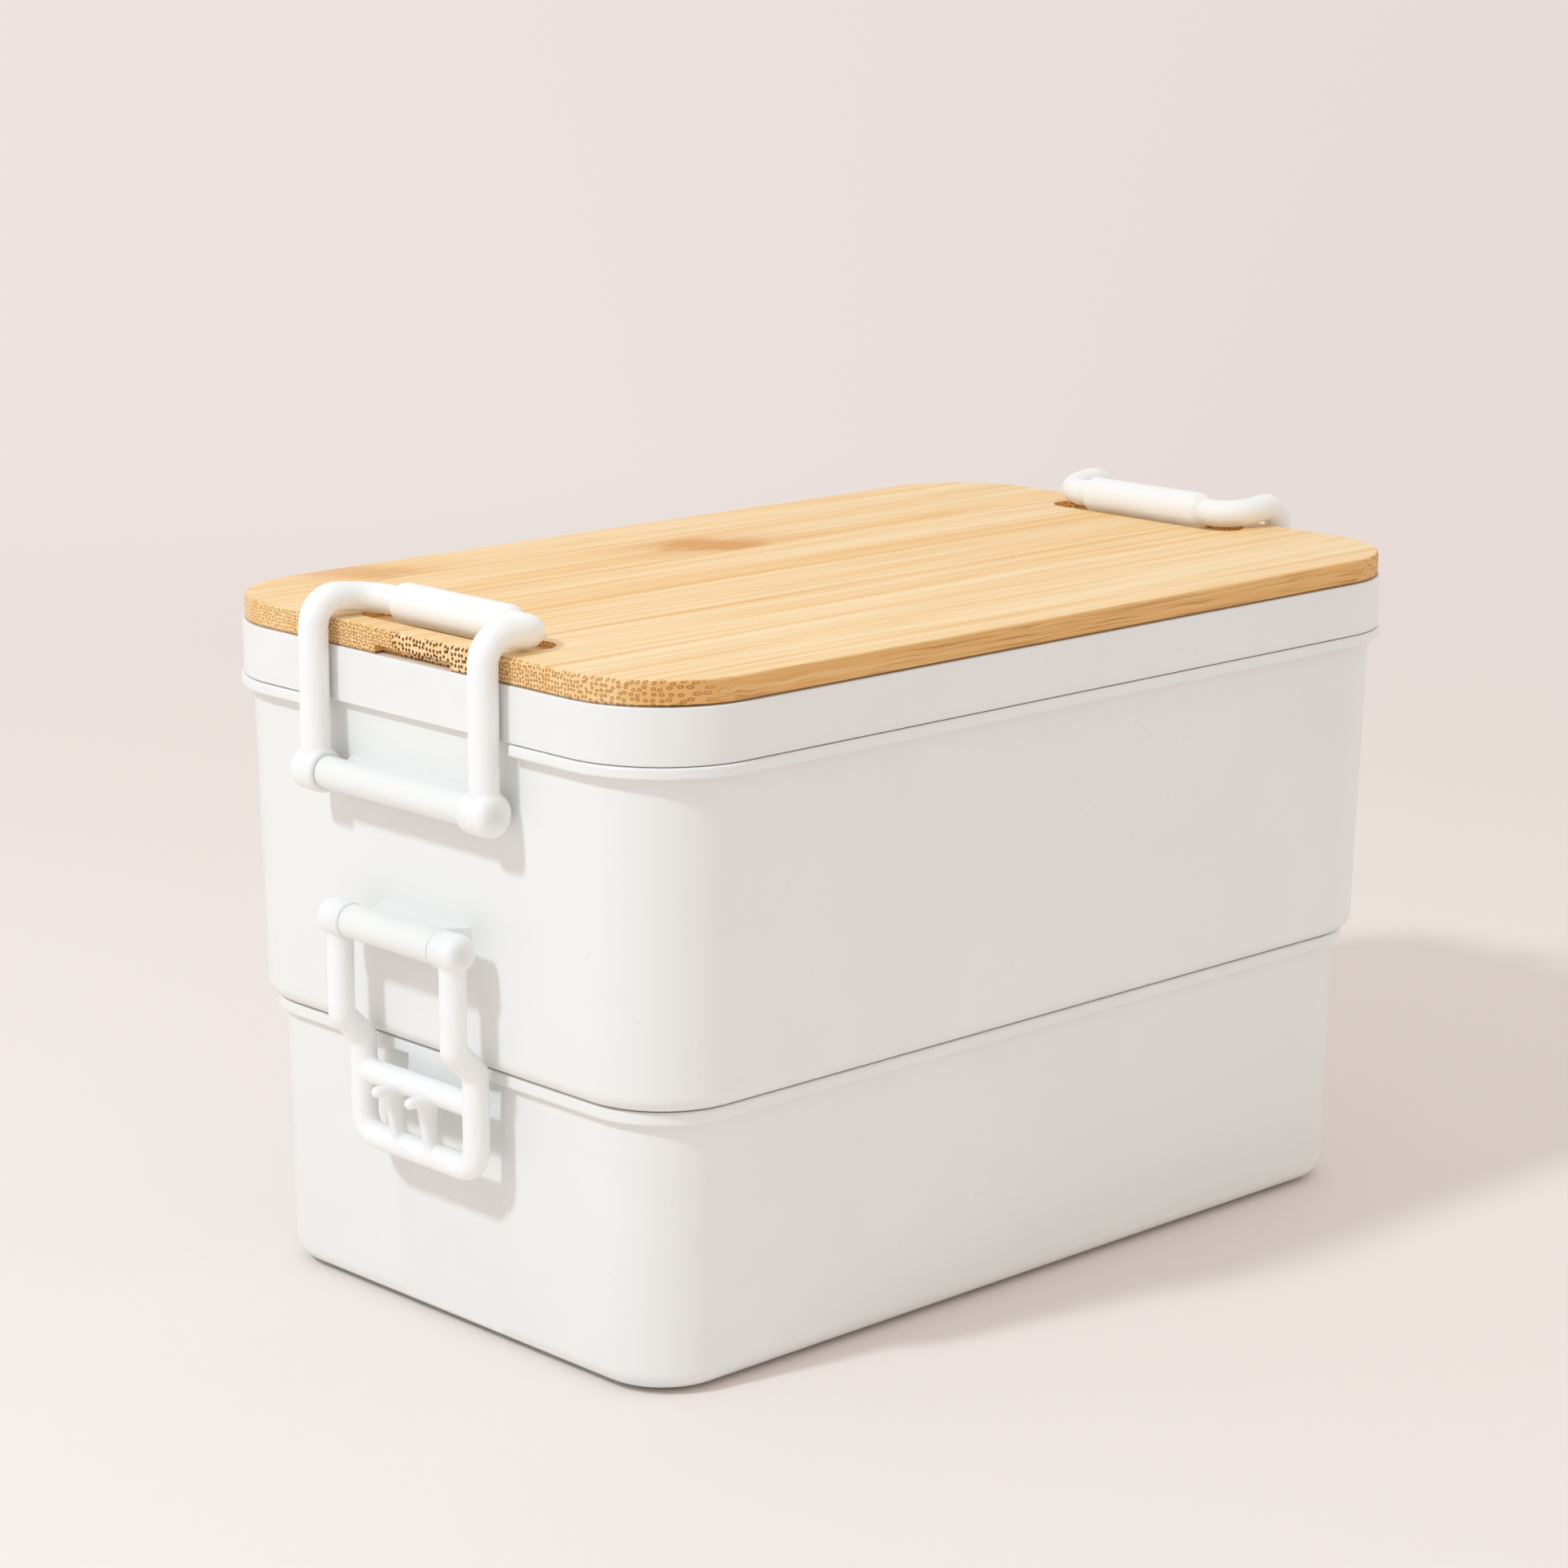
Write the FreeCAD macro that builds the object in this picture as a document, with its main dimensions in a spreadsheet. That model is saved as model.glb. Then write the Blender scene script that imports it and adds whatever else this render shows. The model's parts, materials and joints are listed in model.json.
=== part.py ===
import FreeCAD, Part
import math
import os
import Sketcher

# Two-tier lunch box: a lower tray, an upper tray, a white lid with a bamboo board, and four bail clips.
# Millimetres. The origin is on the table under the middle of the box, X runs along its length and Z is up.
# The front end is at -X. The rear pieces mirror the front ones.

doc = FreeCAD.newDocument("lunch_box")

# Driving sizes, then sizes that follow from them

DRIVING_SIZES = (
    ("board_length", 180.0, "bamboo board along X"),
    ("board_width", 111.0, "bamboo board along Y"),
    ("board_thickness", 4.1, "bamboo board"),
    ("corner_radius", 18.5, "upright corners of the board; the other outlines run parallel to it"),
    ("board_edge_round", 0.7, "rounding of the board's top edge"),
    ("board_foot_round", 0.4, "rounding of the board's lower edge"),
    ("trough_depth", 1.25, "trough for the upper clip's grip"),
    ("trough_margin", 0.65, "room on each side of the grip in the trough"),
    ("trough_end_margin", 0.8, "trough past the upper clip's leg axis"),
    ("notch_width", 18.6, "finger notch under the board's end"),
    ("notch_height", 1.45, "finger notch"),
    ("notch_depth", 1.8, "finger notch, inward from the end"),
    ("panel_inset", 14.0, "raised panel on the lid that locates the board"),
    ("panel_height", 1.2, "raised panel"),
    ("panel_clearance", 0.4, "between the panel and the board's recess, all round and on top"),
    ("skirt_overhang", 0.4, "lid skirt outside the board's outline"),
    ("skirt_round", 0.25, "rounding of the skirt's outer edges"),
    ("skirt_height", 8.88, "lid from the skirt's lower edge to the board"),
    ("lid_wall", 1.9, "lid skirt and panel thickness"),
    ("lid_gap", 0.12, "between the bead and the skirt"),
    ("bead_overhang", 0.8, "tray bead outside the board's outline"),
    ("bead_height", 99.1, "underside of the bead above the table"),
    ("bead_thickness", 1.8, "bead"),
    ("bead_round", 0.4, "rounding of the bead's outer edges"),
    ("bead_gap_margin", 3.0, "cut in the bead past the leg's axis"),
    ("rim_rise", 5.0, "upper tray's rim above the bead"),
    ("rim_inset", 2.0, "rim inside the board's outline, under the lid"),
    ("upper_inset", 1.15, "upper tray's wall inside the board's outline, at the bead"),
    ("upper_draft", 1.4, "further inset at the upper tray's bottom"),
    ("upper_bottom_round", 2.7, "rounding of the upper tray's bottom edge"),
    ("tray_wall", 2.4, "wall and floor thickness of both trays"),
    ("tray_inner_round", 5.0, "rounding round the floor inside the trays"),
    ("tier_gap", 0.12, "between the two trays"),
    ("lower_rim_height", 46.48, "top of the lower tray above the table"),
    ("lower_flange_thickness", 2.1, "flange round the lower tray's rim"),
    ("lower_flange_round", 0.45, "rounding of the flange's outer edges"),
    ("lower_flange_inset", 4.05, "flange inside the board's outline"),
    ("lower_inset", 5.4, "lower tray's wall inside the board's outline, at the rim"),
    ("lower_draft", 0.85, "further inset at the lower tray's bottom"),
    ("lower_bottom_round", 3.2, "rounding of the lower tray's bottom edge"),
    ("foot_height", 0.7, "foot ring under the lower tray"),
    ("foot_inset", 7.0, "foot ring inside the tray's bottom outline"),
    ("foot_width", 3.0, "foot ring"),
    ("recess_half_width", 11.6, "finger recess in the lower tray's end, at its floor"),
    ("recess_depth", 1.2, "finger recess"),
    ("recess_ramp", 3.2, "sloping side of the finger recess"),
    ("apron_half_width", 7.6, "catch apron under the lower tray's flange"),
    ("apron_drop", 5.1, "apron's lower edge below the rim"),
    ("plug_depth", 4.4, "plug under the upper tray and under the lid, into the opening below"),
    ("plug_lip", 1.0, "lip that holds a seal on its plug"),
    ("plug_wall", 2.0, "plug wall behind the seal"),
    ("plug_clearance", 0.4, "between a plug's lip and the opening"),
    ("seal_thickness", 1.4, "seal from the plug wall outward"),
    ("seal_clearance", 0.3, "between a seal and the opening"),
    ("seal_bead", 0.5, "height of a seal's bead above and below its rib"),
    ("wire_radius", 2.4, "upper clip's legs and bars"),
    ("grip_radius", 3.25, "thick middle of the upper clip's crossbar"),
    ("grip_half_length", 13.8, "thick middle"),
    ("grip_chamfer", 0.9, "grip's ends"),
    ("arm_clearance", 0.8, "between the board and the upper clip's bends"),
    ("arm_slope", 6.0, "degrees that the upper clip's arms slope down to the crossbar"),
    ("arm_run", 7.5, "from the end of the leg's bend to the crossbar's axis"),
    ("leg_bend", 4.2, "bend between leg and arm, to the wire's axis"),
    ("bar_bend", 5.4, "bend between arm and crossbar, to the wire's axis"),
    ("upper_half_span", 20.8, "upper clip's leg from the middle"),
    ("upper_standoff", 3.1, "upper pivots outside the board's end"),
    ("upper_pivot_drop", 9.0, "upper pivots below the bead"),
    ("upper_barrel_radius", 2.6, "hinge barrel"),
    ("upper_barrel_half", 17.9, "hinge barrel"),
    ("upper_boss_radius", 3.5, "clip's boss round the pin"),
    ("lower_wire_radius", 2.15, "lower clip's legs"),
    ("lower_half_span", 14.0, "lower clip's leg from the middle"),
    ("lower_standoff", 4.2, "lower pivots outside the board's end"),
    ("lower_pivot_rise", 20.7, "lower pivots above the upper tray's bottom"),
    ("lower_barrel_radius", 2.75, "hinge barrel"),
    ("lower_barrel_half", 10.9, "hinge barrel"),
    ("lower_boss_radius", 3.05, "clip's boss round the pin"),
    ("kink_start_rise", 4.9, "start of the lower clip's kink above the upper tray's bottom"),
    ("kink_inward", 4.3, "lower clip's kink toward the box"),
    ("kink_height", 4.6, "lower clip's kink"),
    ("rung_drop", 4.9, "lower clip's rung below the lower rim"),
    ("rung_radius", 2.0, "lower clip's rung"),
    ("pull_drop", 15.4, "lower clip's pull bar below the lower rim"),
    ("loop_bend", 3.2, "bend between the lower clip's legs and its pull bar, to the axis"),
    ("prong_spacing", 8.3, "between the lower clip's two prongs"),
    ("prong_radius", 0.95, "prong"),
    ("prong_length", 6.2, "prong, outward from the rung's axis"),
    ("prong_drop", 0.7, "prongs below the rung's axis"),
    ("gusset_thickness", 1.5, "web under a prong"),
    ("gusset_top", 3.8, "web's outward reach at the prong"),
    ("gusset_bottom", 1.8, "web's outward reach at the pull bar"),
    ("hook_half_width", 7.0, "hook behind the rung that catches the apron"),
    ("hook_thickness", 1.3, "hook"),
    ("hook_catch", 1.05, "how far the hook reaches under the apron"),
    ("hook_clearance", 0.5, "between the hook and the apron"),
    ("boss_gap", 0.15, "between a barrel's end and the boss beside it"),
    ("boss_chamfer", 0.8, "boss's outer edge"),
    ("boss_outer_margin", 0.6, "boss past the leg's outer side"),
    ("web_margin", 4.0, "barrel past each end of its web"),
    ("web_flare", 5.4, "how much wider a web is at its root, at each end"),
    ("web_drop", 0.6, "web's top below the barrel's"),
    ("pin_radius", 1.2, "hinge pins"),
    ("pin_clearance", 0.05, "pin in its barrel, on the radius"),
    ("boss_cap", 0.9, "closed end of a boss"),
    ("pin_end_gap", 0.2, "between a pin's end and the closed end of its boss"),
)

DERIVED_SIZES = (
    ("bead_top", "=bead_height + bead_thickness"),
    ("skirt_bottom", "=bead_top + lid_gap"),
    ("board_seat", "=skirt_bottom + skirt_height"),
    ("board_top", "=board_seat + board_thickness"),
    ("panel_underside", "=board_seat - lid_wall"),
    ("upper_rim", "=bead_top + rim_rise"),
    ("upper_bottom", "=lower_rim_height + tier_gap"),
    ("upper_base_inset", "=upper_inset + upper_draft"),
    ("upper_slope", "=atan(upper_draft / (bead_top - upper_bottom)) / 1 deg"),
    ("upper_opening_inset", "=upper_inset + tray_wall"),
    ("lower_base_inset", "=lower_inset + lower_draft"),
    ("lower_slope", "=atan(lower_draft / (lower_rim_height - foot_height)) / 1 deg"),
    ("lower_opening_inset", "=lower_inset + tray_wall"),
    ("lower_flange_height", "=lower_rim_height - lower_flange_thickness"),
    ("apron_bottom", "=lower_rim_height - apron_drop"),
    ("recess_reach", "=board_length / 2 - lower_inset - recess_depth"),
    ("recess_mouth", "=recess_reach + 2 * recess_depth"),
    ("apron_reach", "=board_length / 2 - lower_flange_inset"),
    ("end_reach", "=board_length / 2 + bead_overhang + upper_standoff"),
    ("bead_cut_reach", "=board_length / 2 - upper_inset"),
    ("bead_cut_half", "=upper_half_span + bead_gap_margin"),
    ("upper_pivot_reach", "=board_length / 2 + upper_standoff"),
    ("upper_pivot_height", "=bead_height - upper_pivot_drop"),
    ("lower_pivot_reach", "=board_length / 2 + lower_standoff"),
    ("lower_pivot_height", "=upper_bottom + lower_pivot_rise"),
    ("web_root_reach", "=board_length / 2 - upper_base_inset - tray_wall / 2"),
    ("arm_rise", "=board_top + arm_clearance + wire_radius - upper_pivot_height"),
    ("bar_half", "=upper_half_span - bar_bend"),
    ("bar_inward", "=leg_bend + arm_run * cos(arm_slope * 1 deg) + leg_bend * sin(arm_slope * 1 deg)"),
    ("trough_reach", "=upper_pivot_reach - bar_inward"),
    ("trough_half_width", "=grip_radius + trough_margin"),
    ("trough_half_length", "=upper_half_span + trough_end_margin"),
    ("upper_boss_start", "=upper_barrel_half + boss_gap"),
    ("upper_boss_end", "=upper_half_span + wire_radius + boss_outer_margin"),
    ("lower_boss_start", "=lower_barrel_half + boss_gap"),
    ("lower_boss_end", "=lower_half_span + lower_wire_radius + boss_outer_margin"),
    ("kink_start", "=lower_pivot_rise - kink_start_rise"),
    ("kink_end", "=kink_start + kink_height"),
    ("kink_length", "=sqrt(kink_inward * kink_inward + kink_height * kink_height)"),
    ("rung_fall", "=lower_pivot_height - lower_rim_height + rung_drop"),
    ("prong_fall", "=rung_fall + prong_drop"),
    ("pull_fall", "=lower_pivot_height - lower_rim_height + pull_drop"),
    ("hook_reach", "=lower_pivot_reach - kink_inward - apron_reach + hook_catch"),
    ("hook_top_fall", "=lower_pivot_height - apron_bottom + hook_clearance"),
    ("lid_seal_bottom", "=upper_rim - plug_depth + plug_lip"),
    ("lid_seal_top", "=upper_rim"),
    ("tray_seal_bottom", "=lower_rim_height - plug_depth + plug_lip"),
    ("tray_seal_top", "=upper_bottom"),
)

sizes = doc.addObject("Spreadsheet::Sheet", "Sizes")
row = 0
for alias, value, note in DRIVING_SIZES:
    row += 1
    sizes.set("A%d" % row, note)
    sizes.set("B%d" % row, str(value))
    sizes.setAlias("B%d" % row, alias)
for alias, formula in DERIVED_SIZES:
    row += 1
    sizes.set("A%d" % row, alias.replace("_", " "))
    sizes.set("B%d" % row, formula)
    sizes.setAlias("B%d" % row, alias)
doc.recompute()

WORDS = sorted((entry[0] for entry in DRIVING_SIZES + DERIVED_SIZES), key=len, reverse=True)


def from_sheet(words):
    """Turn an expression in the sheet's words into one that any object can hold."""
    pieces = []
    word = ""
    for letter in words + " ":
        if letter.isalnum() or letter == "_":
            word += letter
            continue
        pieces.append("Sizes." + word if word in WORDS else word)
        pieces.append(letter)
        word = ""
    return "".join(pieces).strip()


def number(words):
    """The present value of an expression in the sheet's words."""
    return float(sizes.evalExpression(from_sheet(words)))


def bind(thing, **properties):
    """Bind properties of an object to the sheet; a double underscore stands for a dot."""
    for name, words in properties.items():
        thing.setExpression(name.replace("__", "."), from_sheet(words))
    return thing


# Sketches and features of bodies


def new_body(label):
    body = doc.addObject("PartDesign::Body", label)
    body.Label = label
    return body


def new_sketch(body, label, role, level="0"):
    """A sketch on one of the body's own origin planes, moved along the plane's normal."""
    plane = [feature for feature in body.Origin.OriginFeatures if feature.Role == role][0]
    sketch = body.newObject("Sketcher::SketchObject", label)
    sketch.AttachmentSupport = [(plane, "")]
    sketch.MapMode = "FlatFace"
    bind(sketch, AttachmentOffset__Base__z=level)
    return sketch


def constrain(sketch, name, words, *arguments):
    """Add a constraint with a value that follows the sheet."""
    index = sketch.addConstraint(Sketcher.Constraint(*arguments, number(words)))
    sketch.renameConstraint(index, name)
    bind(sketch, **{"Constraints__" + name: words})


def add_outline(sketch, inset, name="Outer"):
    """A rounded rectangle that runs inside the board's outline at an even distance."""
    half_x = number("board_length / 2 - (%s)" % inset)
    half_y = number("board_width / 2 - (%s)" % inset)
    radius = number("corner_radius - (%s)" % inset)
    inner_x = half_x - radius
    inner_y = half_y - radius
    first = sketch.GeometryCount
    corners = (
        (inner_x, -inner_y, -90),
        (inner_x, inner_y, 0),
        (-inner_x, inner_y, 90),
        (-inner_x, -inner_y, 180),
    )
    ends = (
        ((-inner_x, -half_y), (inner_x, -half_y)),
        ((half_x, -inner_y), (half_x, inner_y)),
        ((inner_x, half_y), (-inner_x, half_y)),
        ((-half_x, inner_y), (-half_x, -inner_y)),
    )
    for (start, end), (centre_x, centre_y, angle) in zip(ends, corners):
        sketch.addGeometry(Part.LineSegment(FreeCAD.Vector(*start, 0), FreeCAD.Vector(*end, 0)))
        circle = Part.Circle(FreeCAD.Vector(centre_x, centre_y, 0), FreeCAD.Vector(0, 0, 1), radius)
        sketch.addGeometry(Part.ArcOfCircle(circle, math.radians(angle), math.radians(angle + 90)))
    for step in range(4):
        line = first + 2 * step
        arc = line + 1
        following = first + (2 * step + 2) % 8
        sketch.addConstraint(Sketcher.Constraint("Tangent", line, 2, arc, 1))
        sketch.addConstraint(Sketcher.Constraint("Tangent", arc, 2, following, 1))
        sketch.addConstraint(Sketcher.Constraint("Horizontal" if step % 2 == 0 else "Vertical", line))
        if step:
            sketch.addConstraint(Sketcher.Constraint("Equal", first + 1, arc))
    sketch.addConstraint(Sketcher.Constraint("Symmetric", first + 1, 3, first + 5, 3, -1, 1))
    constrain(sketch, name + "Length", "board_length - 2 * (%s)" % inset,
              "DistanceX", first + 6, 1, first + 2, 1)
    constrain(sketch, name + "Width", "board_width - 2 * (%s)" % inset,
              "DistanceY", first, 1, first + 4, 1)
    constrain(sketch, name + "Radius", "corner_radius - (%s)" % inset, "Radius", first + 1)


def outline(body, label, level, inset):
    sketch = new_sketch(body, label, "XY_Plane", level)
    add_outline(sketch, inset)
    return sketch


def ring(body, label, level, outer_inset, inner_inset):
    sketch = new_sketch(body, label, "XY_Plane", level)
    add_outline(sketch, outer_inset, "Outer")
    add_outline(sketch, inner_inset, "Inner")
    return sketch


def add_trapezoid(sketch, side, inner, outer):
    """Four lines at one end of the box, given by the reach and half width of the inner and outer one."""
    name = "Left" if side < 0 else "Right"
    x_inner = side * number(inner[0])
    x_outer = side * number(outer[0])
    y_inner = number(inner[1])
    y_outer = number(outer[1])
    points = ((x_inner, -y_inner), (x_outer, -y_outer), (x_outer, y_outer), (x_inner, y_inner))
    first = sketch.GeometryCount
    for step in range(4):
        start = FreeCAD.Vector(*points[step], 0)
        end = FreeCAD.Vector(*points[(step + 1) % 4], 0)
        sketch.addGeometry(Part.LineSegment(start, end))
    for step in range(4):
        sketch.addConstraint(Sketcher.Constraint("Coincident", first + step, 2, first + (step + 1) % 4, 1))
    for part_name, (reach, half), line, low, high in (
            ("Outer", outer, first + 1, 1, 2),
            ("Inner", inner, first + 3, 2, 1)):
        sketch.addConstraint(Sketcher.Constraint("Symmetric", line, low, line, high, -1))
        pair = (line, 1, -1, 1) if side < 0 else (-1, 1, line, 1)
        constrain(sketch, name + part_name + "Reach", reach, "DistanceX", *pair)
        constrain(sketch, name + part_name + "Width", "2 * (%s)" % half, "DistanceY", line, low, line, high)


def trapezoid_pair(body, label, level, inner, outer):
    """The same four lines at both ends of the box."""
    sketch = new_sketch(body, label, "XY_Plane", level)
    for side in (-1, 1):
        add_trapezoid(sketch, side, inner, outer)
    return sketch


def circle_pair(body, label, reach, height, radius):
    """A circle at each end of the box, seen along Y."""
    sketch = new_sketch(body, label, "XZ_Plane")
    for side, name in ((-1, "Left"), (1, "Right")):
        centre = FreeCAD.Vector(side * number(reach), number(height), 0)
        circle = sketch.addGeometry(Part.Circle(centre, FreeCAD.Vector(0, 0, 1), number(radius)))
        pair = (circle, 3, -1, 1) if side < 0 else (-1, 1, circle, 3)
        constrain(sketch, name + "Reach", reach, "DistanceX", *pair)
        constrain(sketch, name + "Height", height, "DistanceY", -1, 1, circle, 3)
        constrain(sketch, name + "Radius", radius, "Radius", circle)
    return sketch


def extrude(body, kind, sketch, length, upward=True, symmetric=False, slope="0"):
    """A pad or pocket of a sketch, whose sides lean out by the angle slope on the way."""
    feature = body.newObject("PartDesign::" + kind, sketch.Label + "_" + kind.lower())
    feature.Profile = sketch
    feature.Type = "Length"
    bind(feature, Length=length)
    if symmetric:
        feature.SideType = "Symmetric"
    else:
        feature.Reversed = upward if kind == "Pocket" else not upward
        bind(feature, TaperAngle=slope)
    doc.recompute()
    return feature


SAME_PLACE = 0.001


def round_level(body, label, levels, radius, wanted=None):
    """Round the edges that lie at the given heights, or those of them that a test accepts."""
    base = body.Tip
    heights = [number(level) for level in levels]
    names = []
    for index, edge in enumerate(base.Shape.Edges, 1):
        box = edge.BoundBox
        level_edge = any(abs(box.ZMin - z) < SAME_PLACE and abs(box.ZMax - z) < SAME_PLACE for z in heights)
        if level_edge and (wanted is None or wanted(box)):
            names.append("Edge%d" % index)
    feature = body.newObject("PartDesign::Fillet", label)
    feature.Base = (base, names)
    bind(feature, Radius=radius)
    doc.recompute()
    return feature


def outside(inset):
    """A test for edges on or beyond the outline at an inset, at a long side or an end."""
    half_x = number("board_length / 2 - (%s)" % inset)
    half_y = number("board_width / 2 - (%s)" % inset)

    def test(box):
        far_x = max(abs(box.XMin), abs(box.XMax))
        far_y = max(abs(box.YMin), abs(box.YMax))
        return far_x > half_x - SAME_PLACE or far_y > half_y - SAME_PLACE

    return test


# Lower tray

lower_tray = new_body("lower_tray")
extrude(lower_tray, "Pad", outline(lower_tray, "lower_wall", "foot_height", "lower_base_inset"),
        "lower_rim_height - foot_height", slope="lower_slope")
round_level(lower_tray, "lower_bottom_edge", ["foot_height"], "lower_bottom_round")
extrude(lower_tray, "Pad", outline(lower_tray, "lower_flange", "lower_flange_height", "lower_flange_inset"),
        "lower_flange_thickness")
round_level(lower_tray, "lower_flange_edge", ["lower_flange_height", "lower_rim_height"],
            "lower_flange_round", outside("lower_flange_inset"))
extrude(lower_tray, "Pocket",
        trapezoid_pair(lower_tray, "finger_recess", "0", ("recess_reach", "recess_half_width"),
                       ("recess_mouth", "recess_half_width + 2 * recess_ramp")),
        "lower_flange_height")
extrude(lower_tray, "Pad",
        trapezoid_pair(lower_tray, "catch_apron", "apron_bottom",
                       ("recess_reach - tray_wall / 4", "apron_half_width"),
                       ("apron_reach", "apron_half_width")),
        "lower_flange_height - apron_bottom + lower_flange_thickness / 2")
extrude(lower_tray, "Pocket",
        outline(lower_tray, "lower_inside", "lower_rim_height", "lower_opening_inset"),
        "lower_rim_height - foot_height - tray_wall", upward=False, slope="-lower_slope")
round_level(lower_tray, "lower_inside_edge", ["foot_height + tray_wall"], "tray_inner_round")
extrude(lower_tray, "Pad",
        ring(lower_tray, "foot_ring", "0", "lower_base_inset + foot_inset",
             "lower_base_inset + foot_inset + foot_width"),
        "foot_height + tray_wall / 2")

# Upper tray

upper_tray = new_body("upper_tray")
extrude(upper_tray, "Pad", outline(upper_tray, "upper_wall", "upper_bottom", "upper_base_inset"),
        "bead_top - upper_bottom", slope="upper_slope")
round_level(upper_tray, "upper_bottom_edge", ["upper_bottom"], "upper_bottom_round")
extrude(upper_tray, "Pad", outline(upper_tray, "rim_bead", "bead_height", "-bead_overhang"),
        "bead_thickness")
round_level(upper_tray, "bead_edge", ["bead_height", "bead_top"], "bead_round",
            outside("-bead_overhang"))
extrude(upper_tray, "Pad", outline(upper_tray, "rim", "bead_top", "rim_inset"), "rim_rise")
extrude(upper_tray, "Pocket",
        trapezoid_pair(upper_tray, "bead_cut", "bead_height", ("bead_cut_reach", "bead_cut_half"),
                       ("end_reach", "bead_cut_half")),
        "bead_thickness")
extrude(upper_tray, "Pocket", outline(upper_tray, "upper_inside", "upper_rim", "upper_opening_inset"),
        "upper_rim - upper_bottom - tray_wall", upward=False, slope="-upper_slope")
round_level(upper_tray, "upper_inside_edge", ["upper_bottom + tray_wall"], "tray_inner_round")

# The plug under the floor goes into the lower tray and carries the seal between the tiers.
lip_inset = "lower_opening_inset + plug_clearance"
core_inset = "lower_opening_inset + seal_clearance + seal_thickness"
extrude(upper_tray, "Pad",
        ring(upper_tray, "tier_plug", "lower_rim_height - plug_depth", core_inset,
             core_inset + " + plug_wall"),
        "plug_depth + tier_gap + tray_wall / 2")
extrude(upper_tray, "Pad",
        ring(upper_tray, "tier_plug_lip", "lower_rim_height - plug_depth", lip_inset,
             core_inset + " + plug_wall / 2"),
        "plug_lip")

for tier in ("upper", "lower"):
    reach = tier + "_pivot_reach"
    height = tier + "_pivot_height"
    radius = tier + "_barrel_radius"
    half = tier + "_barrel_half"
    web_half = half + " - web_margin"
    web = trapezoid_pair(upper_tray, tier + "_web", height, ("web_root_reach", web_half + " + web_flare"),
                         (reach, web_half))
    extrude(upper_tray, "Pad", web, radius + " - web_drop")
    barrel = circle_pair(upper_tray, tier + "_barrel", reach, height, radius)
    extrude(upper_tray, "Pad", barrel, "2 * " + half, symmetric=True)
    bore = circle_pair(upper_tray, tier + "_bore", reach, height, "pin_radius + pin_clearance")
    extrude(upper_tray, "Pocket", bore, "2 * (%s + boss_gap)" % half, symmetric=True)

# White lid

inner_lid = new_body("inner_lid")
extrude(inner_lid, "Pad", outline(inner_lid, "lid_skirt", "skirt_bottom", "-skirt_overhang"),
        "skirt_height")
round_level(inner_lid, "skirt_edge", ["skirt_bottom", "board_seat"], "skirt_round")
extrude(inner_lid, "Pocket",
        outline(inner_lid, "lid_underside", "skirt_bottom", "lid_wall - skirt_overhang"),
        "skirt_height - lid_wall")
extrude(inner_lid, "Pad", outline(inner_lid, "locating_panel", "board_seat", "panel_inset"),
        "panel_height")
lip_inset = "upper_opening_inset + plug_clearance"
core_inset = "upper_opening_inset + seal_clearance + seal_thickness"
extrude(inner_lid, "Pad",
        ring(inner_lid, "lid_plug", "upper_rim - plug_depth", core_inset,
             core_inset + " + plug_wall"),
        "panel_underside - upper_rim + plug_depth + lid_wall / 2")
extrude(inner_lid, "Pad",
        ring(inner_lid, "lid_plug_lip", "upper_rim - plug_depth", lip_inset,
             core_inset + " + plug_wall / 2"),
        "plug_lip")


# Seals: a rib on the plug with a wider bead at its middle height


def seal(label, bottom, top, opening_inset):
    body = new_body(label)
    inner = opening_inset + " + seal_clearance + seal_thickness"
    outer = opening_inset + " + seal_clearance"
    extrude(body, "Pad", ring(body, label + "_rib", bottom, outer + " + seal_thickness / 2", inner),
            "%s - %s" % (top, bottom))
    extrude(body, "Pad", ring(body, label + "_bead", bottom + " + seal_bead", outer, inner),
            "%s - %s - 2 * seal_bead" % (top, bottom))
    return body


lid_seal = seal("lid_seal", "lid_seal_bottom", "lid_seal_top", "upper_opening_inset")
tray_seal = seal("tray_seal", "tray_seal_bottom", "tray_seal_top", "lower_opening_inset")

# Bamboo board

bamboo_board = new_body("bamboo_board")
extrude(bamboo_board, "Pad", outline(bamboo_board, "board", "board_seat", "0"), "board_thickness")
round_level(bamboo_board, "board_edge", ["board_top"], "board_edge_round")
round_level(bamboo_board, "board_foot", ["board_seat"], "board_foot_round")
extrude(bamboo_board, "Pocket",
        outline(bamboo_board, "board_recess", "board_seat", "panel_inset - panel_clearance"),
        "panel_height + panel_clearance")
extrude(bamboo_board, "Pocket",
        trapezoid_pair(bamboo_board, "finger_notch", "board_seat",
                       ("board_length / 2 - notch_depth", "notch_width / 2"),
                       ("end_reach", "notch_width / 2")),
        "notch_height")


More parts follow.
